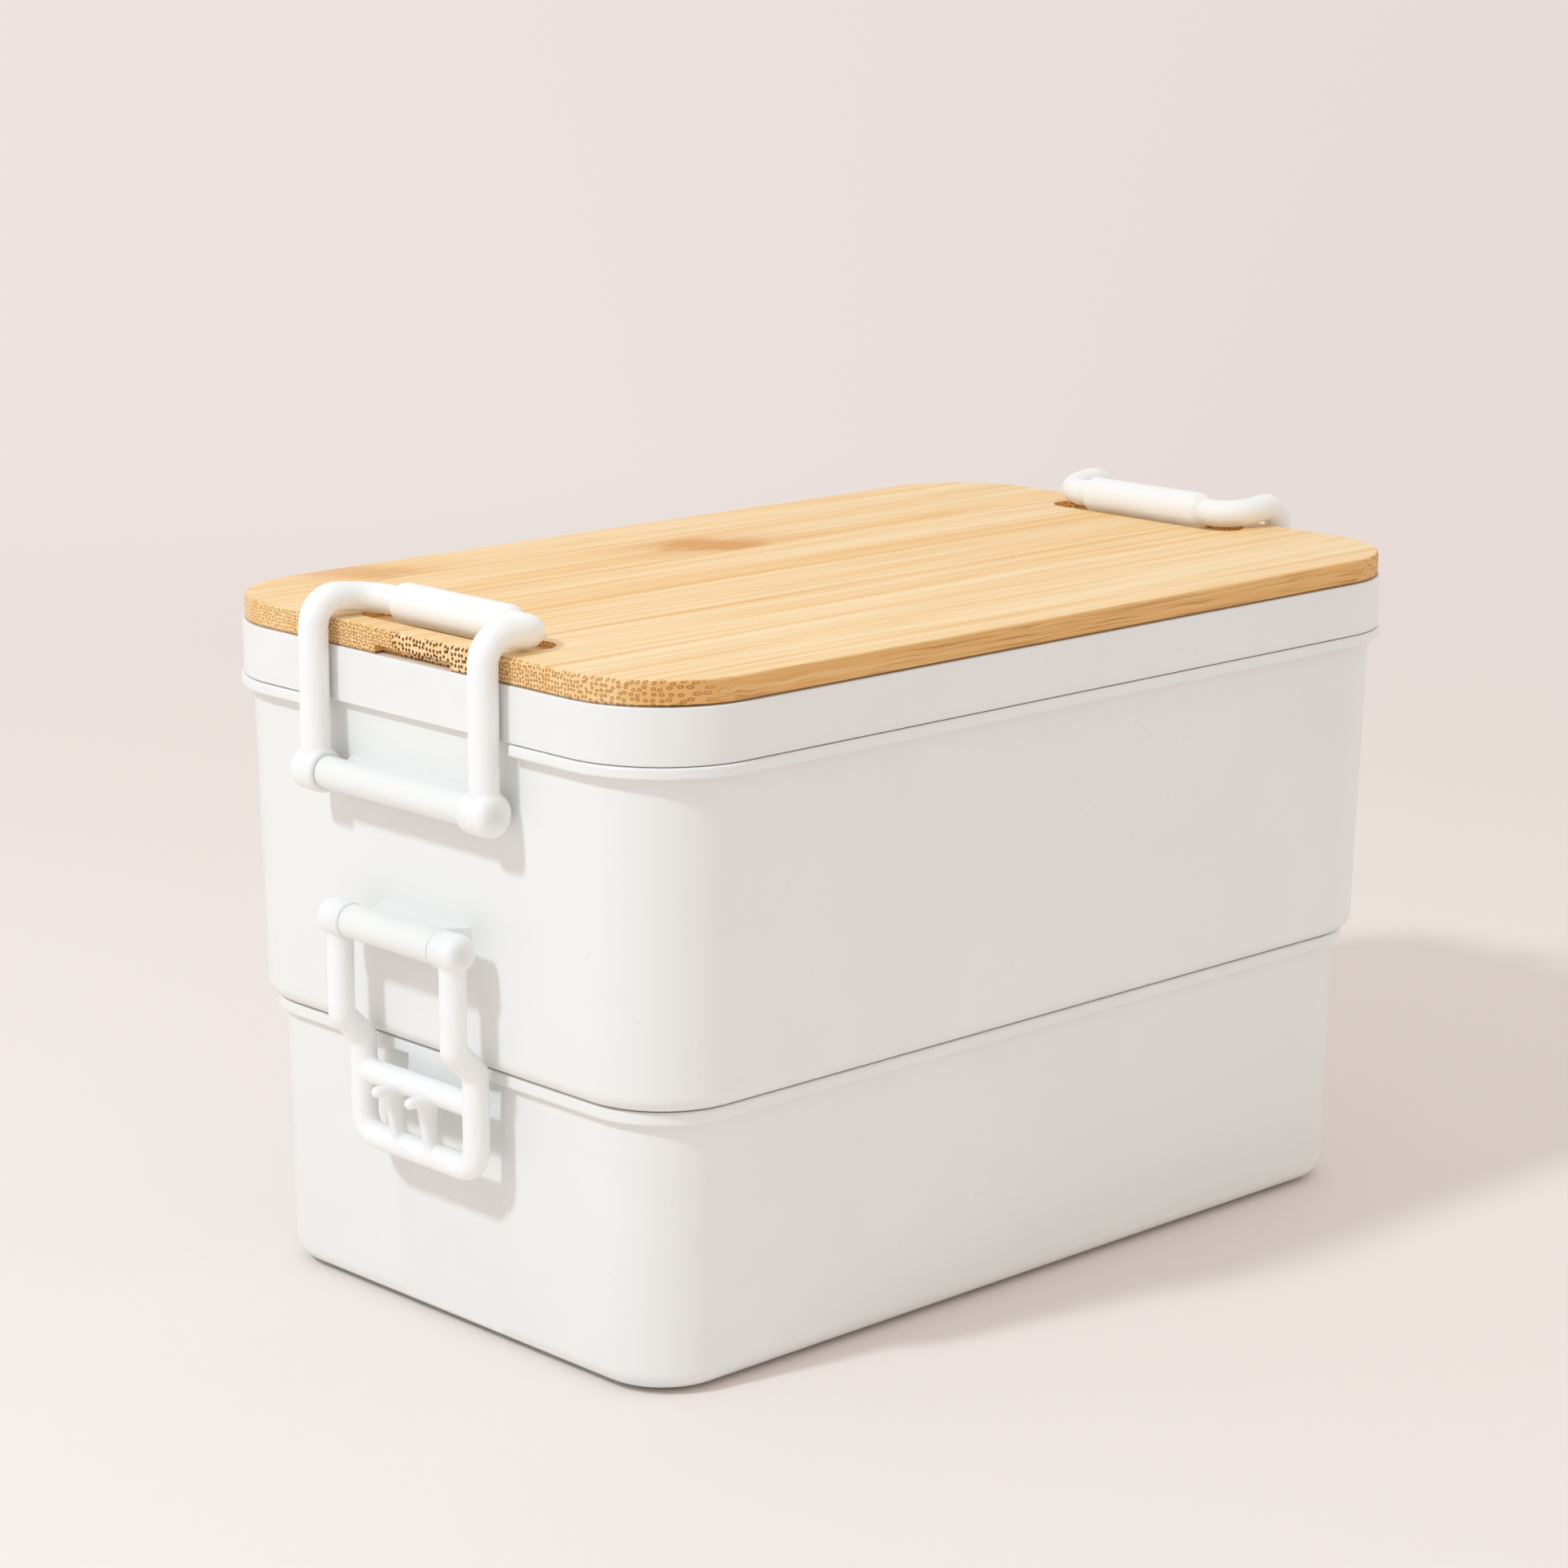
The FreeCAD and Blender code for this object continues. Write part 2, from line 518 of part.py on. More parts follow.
def add_trough(sketch, side):
    """A slot with round ends along the sketch's upright axis."""
    name = "Left" if side < 0 else "Right"
    centre = side * number("trough_reach")
    radius = number("trough_half_width")
    straight = number("trough_half_length - trough_half_width")
    first = sketch.GeometryCount
    normal = FreeCAD.Vector(0, 0, 1)
    for sign, angle in ((1, 0), (-1, 180)):
        circle = Part.Circle(FreeCAD.Vector(centre, sign * straight, 0), normal, radius)
        sketch.addGeometry(Part.ArcOfCircle(circle, math.radians(angle), math.radians(angle + 180)))
        start = FreeCAD.Vector(centre - sign * radius, sign * straight, 0)
        end = FreeCAD.Vector(centre - sign * radius, -sign * straight, 0)
        sketch.addGeometry(Part.LineSegment(start, end))
    for step in range(4):
        sketch.addConstraint(Sketcher.Constraint("Tangent", first + step, 2, first + (step + 1) % 4, 1))
    sketch.addConstraint(Sketcher.Constraint("Vertical", first + 1))
    sketch.addConstraint(Sketcher.Constraint("Symmetric", first, 3, first + 2, 3, -1))
    pair = (first, 3, -1, 1) if side < 0 else (-1, 1, first, 3)
    constrain(sketch, name + "Reach", "trough_reach", "DistanceX", *pair)
    constrain(sketch, name + "Straight", "2 * (trough_half_length - trough_half_width)", "DistanceY",
              first + 2, 3, first, 3)
    constrain(sketch, name + "Radius", "trough_half_width", "Radius", first)


troughs = new_sketch(bamboo_board, "troughs", "XY_Plane", "board_top")
for side in (-1, 1):
    add_trough(troughs, side)
extrude(bamboo_board, "Pocket", troughs, "trough_depth", upward=False)

# Clips: round bars built about the pivot, which is at the origin until the whole clip is put in its place.
# Inside a clip X points to the middle of the box and Z is up.

ALONG_X = FreeCAD.Rotation(FreeCAD.Vector(0, 1, 0), 90)
ALONG_MINUS_X = FreeCAD.Rotation(FreeCAD.Vector(0, 1, 0), -90)
ALONG_Y = FreeCAD.Rotation(FreeCAD.Vector(1, 0, 0), -90)
ALONG_MINUS_Y = FreeCAD.Rotation(FreeCAD.Vector(1, 0, 0), 90)
ALONG_Z = FreeCAD.Rotation()
ALONG_MINUS_Z = FreeCAD.Rotation(FreeCAD.Vector(1, 0, 0), 180)
OUTWARD = FreeCAD.Rotation(FreeCAD.Vector(-1, 0, 0), FreeCAD.Vector(0, 0, 1), FreeCAD.Vector(0, 1, 0), "XYZ")


def place(thing, turn, x, y, z):
    thing.Placement = FreeCAD.Placement(FreeCAD.Vector(), turn)
    bind(thing, Placement__Base__x=x, Placement__Base__y=y, Placement__Base__z=z)
    return thing


def bar(label, radius, length, turn, x, y, z):
    cylinder = doc.addObject("Part::Cylinder", label)
    bind(cylinder, Radius=radius, Height=length)
    return place(cylinder, turn, x, y, z)


def taper(label, radius, end_radius, length, turn, x, y, z):
    cone = doc.addObject("Part::Cone", label)
    bind(cone, Radius1=radius, Radius2=end_radius, Height=length)
    return place(cone, turn, x, y, z)


def ball(label, radius, x, y, z):
    sphere = doc.addObject("Part::Sphere", label)
    bind(sphere, Radius=radius)
    return place(sphere, ALONG_Z, x, y, z)


def bend(label, bend_radius, radius, start, end, x, y, z, sweep="90"):
    """A bend about a centre, which runs from the direction start by way of the direction end."""
    torus = doc.addObject("Part::Torus", label)
    bind(torus, Radius1=bend_radius, Radius2=radius, Angle3=sweep)
    first = FreeCAD.Vector(*start)
    second = FreeCAD.Vector(*end)
    return place(torus, FreeCAD.Rotation(first, second, first.cross(second), "XYZ"), x, y, z)


def boss(label, tier, side, away):
    """A boss round the pin at a leg's end, with a bevelled outer edge."""
    radius = tier + "_boss_radius"
    start = tier + "_boss_start"
    end = tier + "_boss_end"
    sign = "" if side > 0 else "-"
    body = bar(label, radius, "%s - %s - boss_chamfer" % (end, start), away,
               "0", "%s(%s)" % (sign, start), "0")
    edge = taper(label + "_edge", radius, radius + " - boss_chamfer", "boss_chamfer", away,
                 "0", "%s(%s - boss_chamfer)" % (sign, end), "0")
    return [body, edge]


def join(label, pieces):
    joined = doc.addObject("Part::MultiFuse", label)
    joined.Shapes = pieces
    joined.Refine = True
    return joined


def finish_clip(label, pieces, tier):
    """Join a clip's bars, bore it for its pin and put it on its pivot."""
    joined = join(label + "_bars", pieces)
    half = tier + "_boss_end - boss_cap"
    hole = bar(label + "_hole", "pin_radius", "2 * (%s)" % half, ALONG_Y, "0", "-(%s)" % half, "0")
    clip = doc.addObject("Part::Cut", label)
    clip.Base = joined
    clip.Tool = hole
    clip.Label = label
    return place(clip, ALONG_Z, "-%s_pivot_reach" % tier, "0", tier + "_pivot_height")


def mirrored(label, source):
    """The same piece at the other end of the box."""
    copy = doc.addObject("Part::Mirroring", label)
    copy.Source = source
    copy.Base = FreeCAD.Vector(0, 0, 0)
    copy.Normal = FreeCAD.Vector(1, 0, 0)
    copy.Label = label
    return copy


def hinge_pin(label, tier):
    length = "%s_boss_end - boss_cap - pin_end_gap" % tier
    return bar(label, "pin_radius", "2 * (%s)" % length, ALONG_Y,
               "-%s_pivot_reach" % tier, "-(%s)" % length, tier + "_pivot_height")


# Upper clip: two legs, and a handle of two arms and a crossbar with a thick grip.
# The handle slopes down over the board.
# The handle is built level about the centre of the legs' bends and then tilted.

upper_pieces = []
handle_pieces = []
for side, name, away in ((1, "left", ALONG_Y), (-1, "right", ALONG_MINUS_Y)):
    sign = "" if side > 0 else "-"
    leg_y = sign + "upper_half_span"
    inner_y = sign + "bar_half"
    upper_pieces += boss("upper_boss_" + name, "upper", side, away)
    upper_pieces.append(bar("upper_leg_" + name, "wire_radius", "arm_rise - leg_bend", ALONG_Z,
                            "0", leg_y, "0"))
    upper_pieces.append(bend("upper_leg_bend_" + name, "leg_bend", "wire_radius", (-1, 0, 0), (0, 0, 1),
                             "leg_bend", leg_y, "arm_rise - leg_bend", "90 + arm_slope"))
    handle_pieces.append(bar("upper_arm_" + name, "wire_radius", "arm_run - bar_bend", ALONG_X,
                             "0", leg_y, "leg_bend"))
    handle_pieces.append(bend("upper_bar_bend_" + name, "bar_bend", "wire_radius",
                              (0, side, 0), (1, 0, 0), "arm_run - bar_bend", inner_y, "leg_bend"))
    handle_pieces.append(taper("upper_grip_end_" + name, "grip_radius", "grip_radius - grip_chamfer",
                               "grip_chamfer", away,
                               "arm_run", sign + "(grip_half_length - grip_chamfer)", "leg_bend"))
handle_pieces.append(bar("upper_crossbar", "wire_radius", "2 * bar_half", ALONG_Y,
                         "arm_run", "-bar_half", "leg_bend"))
handle_pieces.append(bar("upper_grip", "grip_radius", "2 * (grip_half_length - grip_chamfer)", ALONG_Y,
                         "arm_run", "grip_chamfer - grip_half_length", "leg_bend"))
handle = place(join("upper_handle", handle_pieces), ALONG_X, "leg_bend", "0", "arm_rise - leg_bend")
bind(handle, Placement__Rotation__Angle="arm_slope")
upper_clip_front = finish_clip("upper_clip_front", upper_pieces + [handle], "upper")
upper_clip_rear = mirrored("upper_clip_rear", upper_clip_front)

# Lower clip: two kinked legs, a rung with the hook that catches the apron, a pull bar, two prongs on webs

lower_pieces = []
for side, name, away in ((1, "left", ALONG_Y), (-1, "right", ALONG_MINUS_Y)):
    sign = "" if side > 0 else "-"
    leg_y = sign + "lower_half_span"
    lower_pieces += boss("lower_boss_" + name, "lower", side, away)
    lower_pieces.append(bar("lower_leg_" + name, "lower_wire_radius", "kink_start", ALONG_MINUS_Z,
                            "0", leg_y, "0"))
    lower_pieces.append(ball("kink_start_" + name, "lower_wire_radius", "0", leg_y, "-kink_start"))
    kink = bar("kink_" + name, "lower_wire_radius", "kink_length", ALONG_X, "0", leg_y, "-kink_start")
    bind(kink, Placement__Rotation__Angle="180 - atan(kink_inward / kink_height) / 1 deg")
    lower_pieces.append(kink)
    lower_pieces.append(ball("kink_end_" + name, "lower_wire_radius", "kink_inward", leg_y, "-kink_end"))
    lower_pieces.append(bar("loop_leg_" + name, "lower_wire_radius", "pull_fall - kink_end - loop_bend",
                            ALONG_MINUS_Z, "kink_inward", leg_y, "-kink_end"))
    corner_y = sign + "(lower_half_span - loop_bend)"
    lower_pieces.append(bend("loop_corner_" + name, "loop_bend", "lower_wire_radius",
                             (0, side, 0), (0, 0, -1), "kink_inward", corner_y, "loop_bend - pull_fall"))
    prong_y = sign + "prong_spacing / 2"
    lower_pieces.append(bar("prong_" + name, "prong_radius", "prong_length - prong_radius", ALONG_MINUS_X,
                            "kink_inward", prong_y, "-prong_fall"))
    lower_pieces.append(ball("prong_end_" + name, "prong_radius",
                             "kink_inward - prong_length + prong_radius", prong_y, "-prong_fall"))
    web = doc.addObject("Part::Wedge", "gusset_" + name)
    web.Xmin = 0
    web.X2min = 0
    web.Ymin = 0
    bind(web, Xmax="gusset_bottom", X2max="gusset_top", Ymax="pull_fall - prong_fall",
         Zmin="-gusset_thickness / 2", Zmax="gusset_thickness / 2",
         Z2min="-gusset_thickness / 2", Z2max="gusset_thickness / 2")
    lower_pieces.append(place(web, OUTWARD, "kink_inward", prong_y, "-pull_fall"))
lower_pieces.append(bar("rung", "rung_radius", "2 * lower_half_span", ALONG_Y,
                        "kink_inward", "-lower_half_span", "-rung_fall"))
lower_pieces.append(bar("pull_bar", "lower_wire_radius", "2 * (lower_half_span - loop_bend)", ALONG_Y,
                        "kink_inward", "loop_bend - lower_half_span", "-pull_fall"))
hook = doc.addObject("Part::Box", "hook")
bind(hook, Length="hook_reach", Width="2 * hook_half_width", Height="hook_thickness")
lower_pieces.append(place(hook, ALONG_Z, "kink_inward", "-hook_half_width",
                          "-(hook_top_fall + hook_thickness)"))
lower_clip_front = finish_clip("lower_clip_front", lower_pieces, "lower")
lower_clip_rear = mirrored("lower_clip_rear", lower_clip_front)

# Hinge pins

upper_pin_front = hinge_pin("upper_pin_front", "upper")
upper_pin_rear = mirrored("upper_pin_rear", upper_pin_front)
lower_pin_front = hinge_pin("lower_pin_front", "lower")
lower_pin_rear = mirrored("lower_pin_rear", lower_pin_front)

# Check every object, then write the pieces

doc.recompute()
for thing in doc.Objects:
    if "Invalid" in thing.State or "Error" in thing.State:
        raise RuntimeError("%s did not build: %s" % (thing.Label, thing.State))

NODES = (lower_tray, upper_tray, tray_seal, inner_lid, lid_seal, bamboo_board,
         upper_clip_front, upper_clip_rear, lower_clip_front, lower_clip_rear,
         upper_pin_front, upper_pin_rear, lower_pin_front, lower_pin_rear)
os.makedirs("parts", exist_ok=True)
for node in NODES:
    shape = node.Shape
    if shape.isNull() or not shape.isValid() or len(shape.Solids) != 1:
        raise RuntimeError("%s is not one valid solid" % node.Label)
    shape.exportStep("parts/%s.step" % node.Label)
    print(node.Label, "%.1f mm3" % shape.Volume, shape.BoundBox)
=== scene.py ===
"""The looks of a stacked lunch box.

White moulded trays, lid and clips, a bamboo board, silicone seals and steel pins, on a plain pale stage.
"""
import json
import math
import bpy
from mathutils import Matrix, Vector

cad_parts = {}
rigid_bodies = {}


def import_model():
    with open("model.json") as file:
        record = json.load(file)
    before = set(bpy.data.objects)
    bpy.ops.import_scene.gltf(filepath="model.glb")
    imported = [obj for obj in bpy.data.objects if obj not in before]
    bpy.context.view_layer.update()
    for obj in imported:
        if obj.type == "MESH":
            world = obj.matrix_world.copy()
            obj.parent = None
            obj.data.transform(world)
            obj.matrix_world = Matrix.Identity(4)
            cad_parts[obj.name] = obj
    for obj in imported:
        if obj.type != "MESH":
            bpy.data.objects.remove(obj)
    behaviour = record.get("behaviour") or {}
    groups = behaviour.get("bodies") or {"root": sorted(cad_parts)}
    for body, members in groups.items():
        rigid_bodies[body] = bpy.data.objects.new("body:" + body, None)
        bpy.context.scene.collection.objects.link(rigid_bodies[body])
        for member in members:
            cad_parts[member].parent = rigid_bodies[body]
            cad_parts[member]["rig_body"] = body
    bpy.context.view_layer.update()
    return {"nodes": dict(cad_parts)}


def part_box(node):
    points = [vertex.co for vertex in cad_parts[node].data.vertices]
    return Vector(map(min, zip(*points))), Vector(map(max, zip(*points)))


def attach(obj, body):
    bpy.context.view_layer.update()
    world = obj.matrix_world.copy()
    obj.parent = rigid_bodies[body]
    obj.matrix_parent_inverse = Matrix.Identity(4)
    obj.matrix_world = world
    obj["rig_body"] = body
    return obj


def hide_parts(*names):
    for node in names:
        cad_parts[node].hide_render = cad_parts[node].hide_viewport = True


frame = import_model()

from types import SimpleNamespace as Values

import bpy
from mathutils import Matrix, Vector

bl_info = {
    "name": "Stacked lunch box",
    "version": (1, 0, 0),
    "blender": (4, 5, 0),
    "location": "View3D > Sidebar > Lunch box",
    "description": "Dresses a stacked lunch box with moulded plastic, bamboo, silicone and steel",
    "category": "Object",
}

MILLIMETRES = 1000.0
NOISE_MEAN = 0.5

# Meshes: the distance is in metres
WELD_DISTANCE = 0.000002
SMOOTH_ANGLE = math.radians(35.0)
CLIP_SMOOTH_ANGLE = math.radians(80.0)
CLIP_SMOOTH_FACTOR = 0.5

# Plastic: noise scales are cells per millimetre, spreads and depths are in metres
PLASTIC = Values(ior=1.49, spread_colour=(1.0, 0.96, 0.9), grain_strength=0.5)
FLOW = Values(scale=0.035, start=0.35, contrast=1.6, gloss=0.06)
CLOUD = Values(scale=0.32, gloss=0.09)
TRAY = Values(grain_scale=2.6, spread=0.0015)
CLIP = Values(grain_scale=3.4, spread=0.0035)

# Silicone and steel
SILICONE = Values(ior=1.41, milkiness=0.25, spread=0.002, pale=(0.80, 0.80, 0.78), grey=(0.74, 0.745, 0.73),
                  cloud_scale=0.25, dust_scale=3.0, roughness=0.46, dust_gloss=0.2,
                  depth=0.00001, strength=0.4)
STEEL = Values(dark=(0.62, 0.62, 0.63), pale=(0.74, 0.74, 0.745), roughness=0.26, drawn_gloss=0.16,
               depth=0.000006, strength=0.5)

# Noise layers: cells per millimetre along X, Y and Z, and the noise node's own settings
DRAWN = Values(cells=(6.0, 0.25, 6.0), detail=3.0, roughness=0.5, distortion=0.0)
DRIFT = Values(cells=(0.012, 0.04, 0.04), detail=2.0, roughness=0.5, distortion=0.0)
WAVER = Values(cells=(0.09, 0.05, 0.25), detail=2.0, roughness=0.5, distortion=0.0)
BAND = Values(cells=(0.006, 0.17, 0.17), detail=3.0, roughness=0.55, distortion=0.3)
VEIN = Values(cells=(0.009, 0.5, 0.5), detail=1.0, roughness=0.5, distortion=0.2)
STREAK = Values(cells=(0.014, 0.9, 0.9), detail=3.0, roughness=0.65, distortion=0.0)
HAIR = Values(cells=(0.022, 2.5, 3.5), detail=2.0, roughness=0.6, distortion=0.0)
DASH = Values(cells=(0.05, 2.4, 3.4), detail=1.0, roughness=0.5, distortion=0.0)
SMUDGE = Values(cells=(0.1, 0.22, 0.1), detail=4.0, roughness=0.6, distortion=0.5)

# Bamboo: lengths in millimetres, and places across a strip in strip widths.
# A pair of numbers is where a smooth step starts and ends.
BAMBOO_IOR = 1.45
STRIP_MIDDLE = 0.5
FACES = Values(end=(0.16, 0.5), side=(0.3, 0.95), pale_end=(14.0, 45.0))
WANDER = Values(joint=0.5, grain=2.0, dots=1.3)
RIPPLE = Values(height=0.9, growth=3.6, growing=(-55.0, -78.0))
SEAM = Values(reach=(0.40, 0.5), strength=0.35, streak=0.9)
WARMTH = Values(mean=0.30, band=1.6, streak=1.6, hair=1.7, tone=0.3, seam=0.45,
                vein=0.6, vein_step=(0.58, 0.8))
EDGE = Values(side=0.92, streak=1.0, hair=0.8, end=0.4, coarse=0.28, pale_end=0.3)
LINES = Values(hair_step=(0.56, 0.72), hair=0.12, hair_on_side=0.35, dash_step=(0.6, 0.72), dash=0.16,
               dash_on_side=0.36, joint_step=(0.486, 0.5), joint=0.25)
DOTS = Values(level=2.5, strip_shift=37.0, randomness=0.55, uneven_scale=0.9, uneven_reach=0.14,
              rim=(0.37, 0.28), hollow=(0.22, 0.12), hollow_depth=0.7,
              strength=0.86, coarse=0.12, uneven=0.4, pale_end=0.3)
# Painted contact shade: a dark line at the bottom of the board's sides and ends, where it meets the lid
PAINTED_CONTACT_SHADE = Values(rise=(0.46, 0.24), side=0.9, end=0.4)
GLOSS = Values(roughness=0.43, streak=0.16, band=0.1, marks=0.2)
RELIEF = Values(streak=0.6, hair=0.4, marks=0.9, depth=0.00005, strength=0.7)
KNUCKLES = (
    Values(strip=1, centre=0.0, strength=1.0),
    Values(strip=2, centre=-61.0, strength=0.6),
)
KNUCKLE = Values(near_edge=(-0.02, 0.05), far_edge=(1.0, 0.6), wave=18.0, slant=8.0, slant_middle=0.4,
                 body_start=(-11.0, -3.0), body_end=(12.0, 2.0),
                 body_streak=0.9, body_hair=0.7, body_wave=1.6,
                 veil_start=(-32.0, -5.0), veil_end=(30.0, 6.0), veil=0.3)

# Stage: lengths in metres
CAMERA = Values(sensor_width=36.0, nearest=0.01, farthest=100.0)
KEY_AIM = (0.0, 0.0, 0.05)
PAPER = Values(roughness=0.9, scale=220.0, detail=3.0, contrast=0.3, mean=0.5, darkest=0.985)
FLOOR_FADE = (0.3, 0.9)
BACKDROP_TURN = (-0.25, 0.25)


# Sizes and colours that a user would change


class TrayPlasticLook(bpy.types.PropertyGroup):
    """White plastic of the trays and the lid."""

    colour: bpy.props.FloatVectorProperty(
        name="Colour", description="Body colour of the trays and the lid", subtype="COLOR",
        size=3, min=0.0, max=1.0, default=(0.868, 0.868, 0.852))
    shade: bpy.props.FloatVectorProperty(
        name="Flow shade", description="Colour of the faint flow marks in the moulding", subtype="COLOR",
        size=3, min=0.0, max=1.0, default=(0.842, 0.842, 0.828))
    roughness: bpy.props.FloatProperty(
        name="Roughness", description="Mean roughness of the moulded surface", subtype="FACTOR",
        min=0.0, max=1.0, default=0.3)
    grain: bpy.props.FloatProperty(
        name="Grain depth", description="Depth of the fine moulded grain", unit="LENGTH",
        min=0.0, max=0.001, default=0.000004, precision=6)
    milkiness: bpy.props.FloatProperty(
        name="Milkiness", description="Share of the light that spreads inside the plastic", subtype="FACTOR",
        min=0.0, max=1.0, default=0.15)


class ClipPlasticLook(bpy.types.PropertyGroup):
    """Softer, slightly milky plastic of the clips."""

    colour: bpy.props.FloatVectorProperty(
        name="Colour", description="Body colour of the clips", subtype="COLOR",
        size=3, min=0.0, max=1.0, default=(0.90, 0.905, 0.90))
    shade: bpy.props.FloatVectorProperty(
        name="Flow shade", description="Colour of the faint flow marks in the clips", subtype="COLOR",
        size=3, min=0.0, max=1.0, default=(0.885, 0.888, 0.88))
    roughness: bpy.props.FloatProperty(
        name="Roughness", description="Mean roughness of the clips", subtype="FACTOR",
        min=0.0, max=1.0, default=0.52)
    grain: bpy.props.FloatProperty(
        name="Grain depth", description="Depth of the fine moulded grain", unit="LENGTH",
        min=0.0, max=0.001, default=0.000005, precision=6)
    milkiness: bpy.props.FloatProperty(
        name="Milkiness", description="Share of the light that spreads inside the plastic", subtype="FACTOR",
        min=0.0, max=1.0, default=0.62)
    mesh_size: bpy.props.FloatProperty(
        name="Mesh size", description="Size of the faces that the blended corners are made of", unit="LENGTH",
        min=0.0001, max=0.001, default=0.00025, precision=5)
    blend: bpy.props.IntProperty(
        name="Blend", description="How often the clips' corners are smoothed", min=0, max=40, default=9)


class BambooLook(bpy.types.PropertyGroup):
    """The laminated bamboo board."""

    pale: bpy.props.FloatVectorProperty(
        name="Pale", description="Pale ground between the fibres", subtype="COLOR",
        size=3, min=0.0, max=1.0, default=(0.99, 0.765, 0.44))
    warm: bpy.props.FloatVectorProperty(
        name="Warm", description="Warm streaks along the strips", subtype="COLOR",
        size=3, min=0.0, max=1.0, default=(0.915, 0.53, 0.185))
    edge: bpy.props.FloatVectorProperty(
        name="Edge", description="Ground of the cut sides and ends", subtype="COLOR",
        size=3, min=0.0, max=1.0, default=(0.80, 0.44, 0.145))
    fibre: bpy.props.FloatVectorProperty(
        name="Fibre", description="Fibres, lines along the board and dots at its ends", subtype="COLOR",
        size=3, min=0.0, max=1.0, default=(0.37, 0.145, 0.03))
    dark_fibre: bpy.props.FloatVectorProperty(
        name="Dark fibre", description="Fibre ends of the coarse strip", subtype="COLOR",
        size=3, min=0.0, max=1.0, default=(0.11, 0.04, 0.010))
    knuckle: bpy.props.FloatVectorProperty(
        name="Knuckle", description="Darker cane joint that crosses a strip", subtype="COLOR",
        size=3, min=0.0, max=1.0, default=(0.74, 0.33, 0.06))
    # Painted contact shade: colour of the dark line where the board's sides and ends meet the lid
    painted_contact_shade: bpy.props.FloatVectorProperty(
        name="Foot", description="Dark line where the sides meet the lid", subtype="COLOR",
        size=3, min=0.0, max=1.0, default=(0.075, 0.032, 0.014))
    strip_width: bpy.props.FloatProperty(
        name="Strip width", description="Width of one glued strip", unit="LENGTH",
        min=0.002, max=0.1, default=0.0183)
    first_joint: bpy.props.FloatProperty(
        name="First joint", description="Place of one glue joint across the board", unit="LENGTH",
        min=-0.1, max=0.1, default=0.0049)
    coarse_strip: bpy.props.IntProperty(
        name="Coarse strip", description="Number of the strip with the darkest fibres, from the first joint",
        min=-20, max=20, default=-1)
    ringed_strip: bpy.props.IntProperty(
        name="Ringed strip", description="Number of the first strip whose fibre ends widen into rings",
        min=-20, max=20, default=-2)
    fine_pitch: bpy.props.FloatProperty(
        name="Fine pitch", description="Distance between fibres", unit="LENGTH",
        min=0.0001, max=0.01, default=0.00054, precision=5)
    coarse_pitch: bpy.props.FloatProperty(
        name="Coarse pitch", description="Distance between fibres in the coarse strip", unit="LENGTH",
        min=0.0001, max=0.01, default=0.00086, precision=5)
    ring_pitch: bpy.props.FloatProperty(
        name="Ring pitch", description="Distance between the rings at the corner", unit="LENGTH",
        min=0.0001, max=0.01, default=0.0009, precision=5)
    ring_start: bpy.props.FloatProperty(
        name="Ring start", description="Place across the board where fibres begin to widen", unit="LENGTH",
        min=-0.1, max=0.1, default=-0.016)
    ring_end: bpy.props.FloatProperty(
        name="Ring end", description="Place across the board where fibres are widest", unit="LENGTH",
        min=-0.1, max=0.1, default=-0.053)


class StageLook(bpy.types.PropertyGroup):
    """Camera, light and floor."""

    lens: bpy.props.FloatProperty(
        name="Lens", description="Focal length on a sensor 36 mm wide", unit="CAMERA",
        min=10.0, max=300.0, default=92.43)
    camera_place: bpy.props.FloatVectorProperty(
        name="Camera", description="Where the camera stands", subtype="XYZ", unit="LENGTH",
        size=3, default=(-0.46961, -0.47799, 0.23294))
    azimuth: bpy.props.FloatProperty(
        name="Azimuth", description="Turn of the camera about the upright axis", subtype="ANGLE",
        default=math.radians(-43.848))
    elevation: bpy.props.FloatProperty(
        name="Elevation", description="How far the camera looks down", subtype="ANGLE",
        default=math.radians(13.145))
    roll: bpy.props.FloatProperty(
        name="Roll", description="Turn of the camera about its own axis", subtype="ANGLE",
        default=math.radians(0.311))
    key_place: bpy.props.FloatVectorProperty(
        name="Key lamp", description="Where the key lamp stands", subtype="XYZ", unit="LENGTH",
        size=3, default=(-0.924, 0.079, 0.953))
    key_power: bpy.props.FloatProperty(
        name="Key power", description="Power of the key lamp", unit="POWER", min=0.0, default=6.6)
    key_colour: bpy.props.FloatVectorProperty(
        name="Key colour", description="Colour of the key lamp", subtype="COLOR",
        size=3, min=0.0, max=1.0, default=(0.81, 0.92, 1.0))
    key_size: bpy.props.FloatProperty(
        name="Key size", description="Diameter of the key lamp", unit="LENGTH", min=0.001, default=0.11)
    sky: bpy.props.FloatProperty(
        name="Sky", description="Strength of the soft light from all sides", min=0.0, max=2.0, default=0.78)
    sky_lean: bpy.props.FloatProperty(
        name="Sky lean", description="How much stronger the soft light is from the rear",
        min=-1.0, max=1.0, default=0.16)
    sky_colour: bpy.props.FloatVectorProperty(
        name="Sky colour", description="Colour of the soft light", subtype="COLOR",
        size=3, min=0.0, max=1.0, default=(1.0, 0.965, 0.93))
    floor: bpy.props.FloatVectorProperty(
        name="Floor", description="Colour of the floor near the box", subtype="COLOR",
        size=3, min=0.0, max=1.0, default=(0.89, 0.815, 0.777))
    backdrop: bpy.props.FloatVectorProperty(
        name="Backdrop", description="Colour that the floor fades to, on the camera's left", subtype="COLOR",
        size=3, min=0.0, max=1.0, default=(0.853, 0.775, 0.741))
    # Painted shade: the backdrop's glow is darker on the camera's right
    backdrop_shaded_right: bpy.props.FloatVectorProperty(
        name="Backdrop right", description="The same, on the camera's right", subtype="COLOR",
        size=3, min=0.0, max=1.0, default=(0.807, 0.716, 0.688))
    floor_size: bpy.props.FloatProperty(
        name="Floor size", description="Side of the floor", unit="LENGTH", min=1.0, default=24.0)


# Shader maths


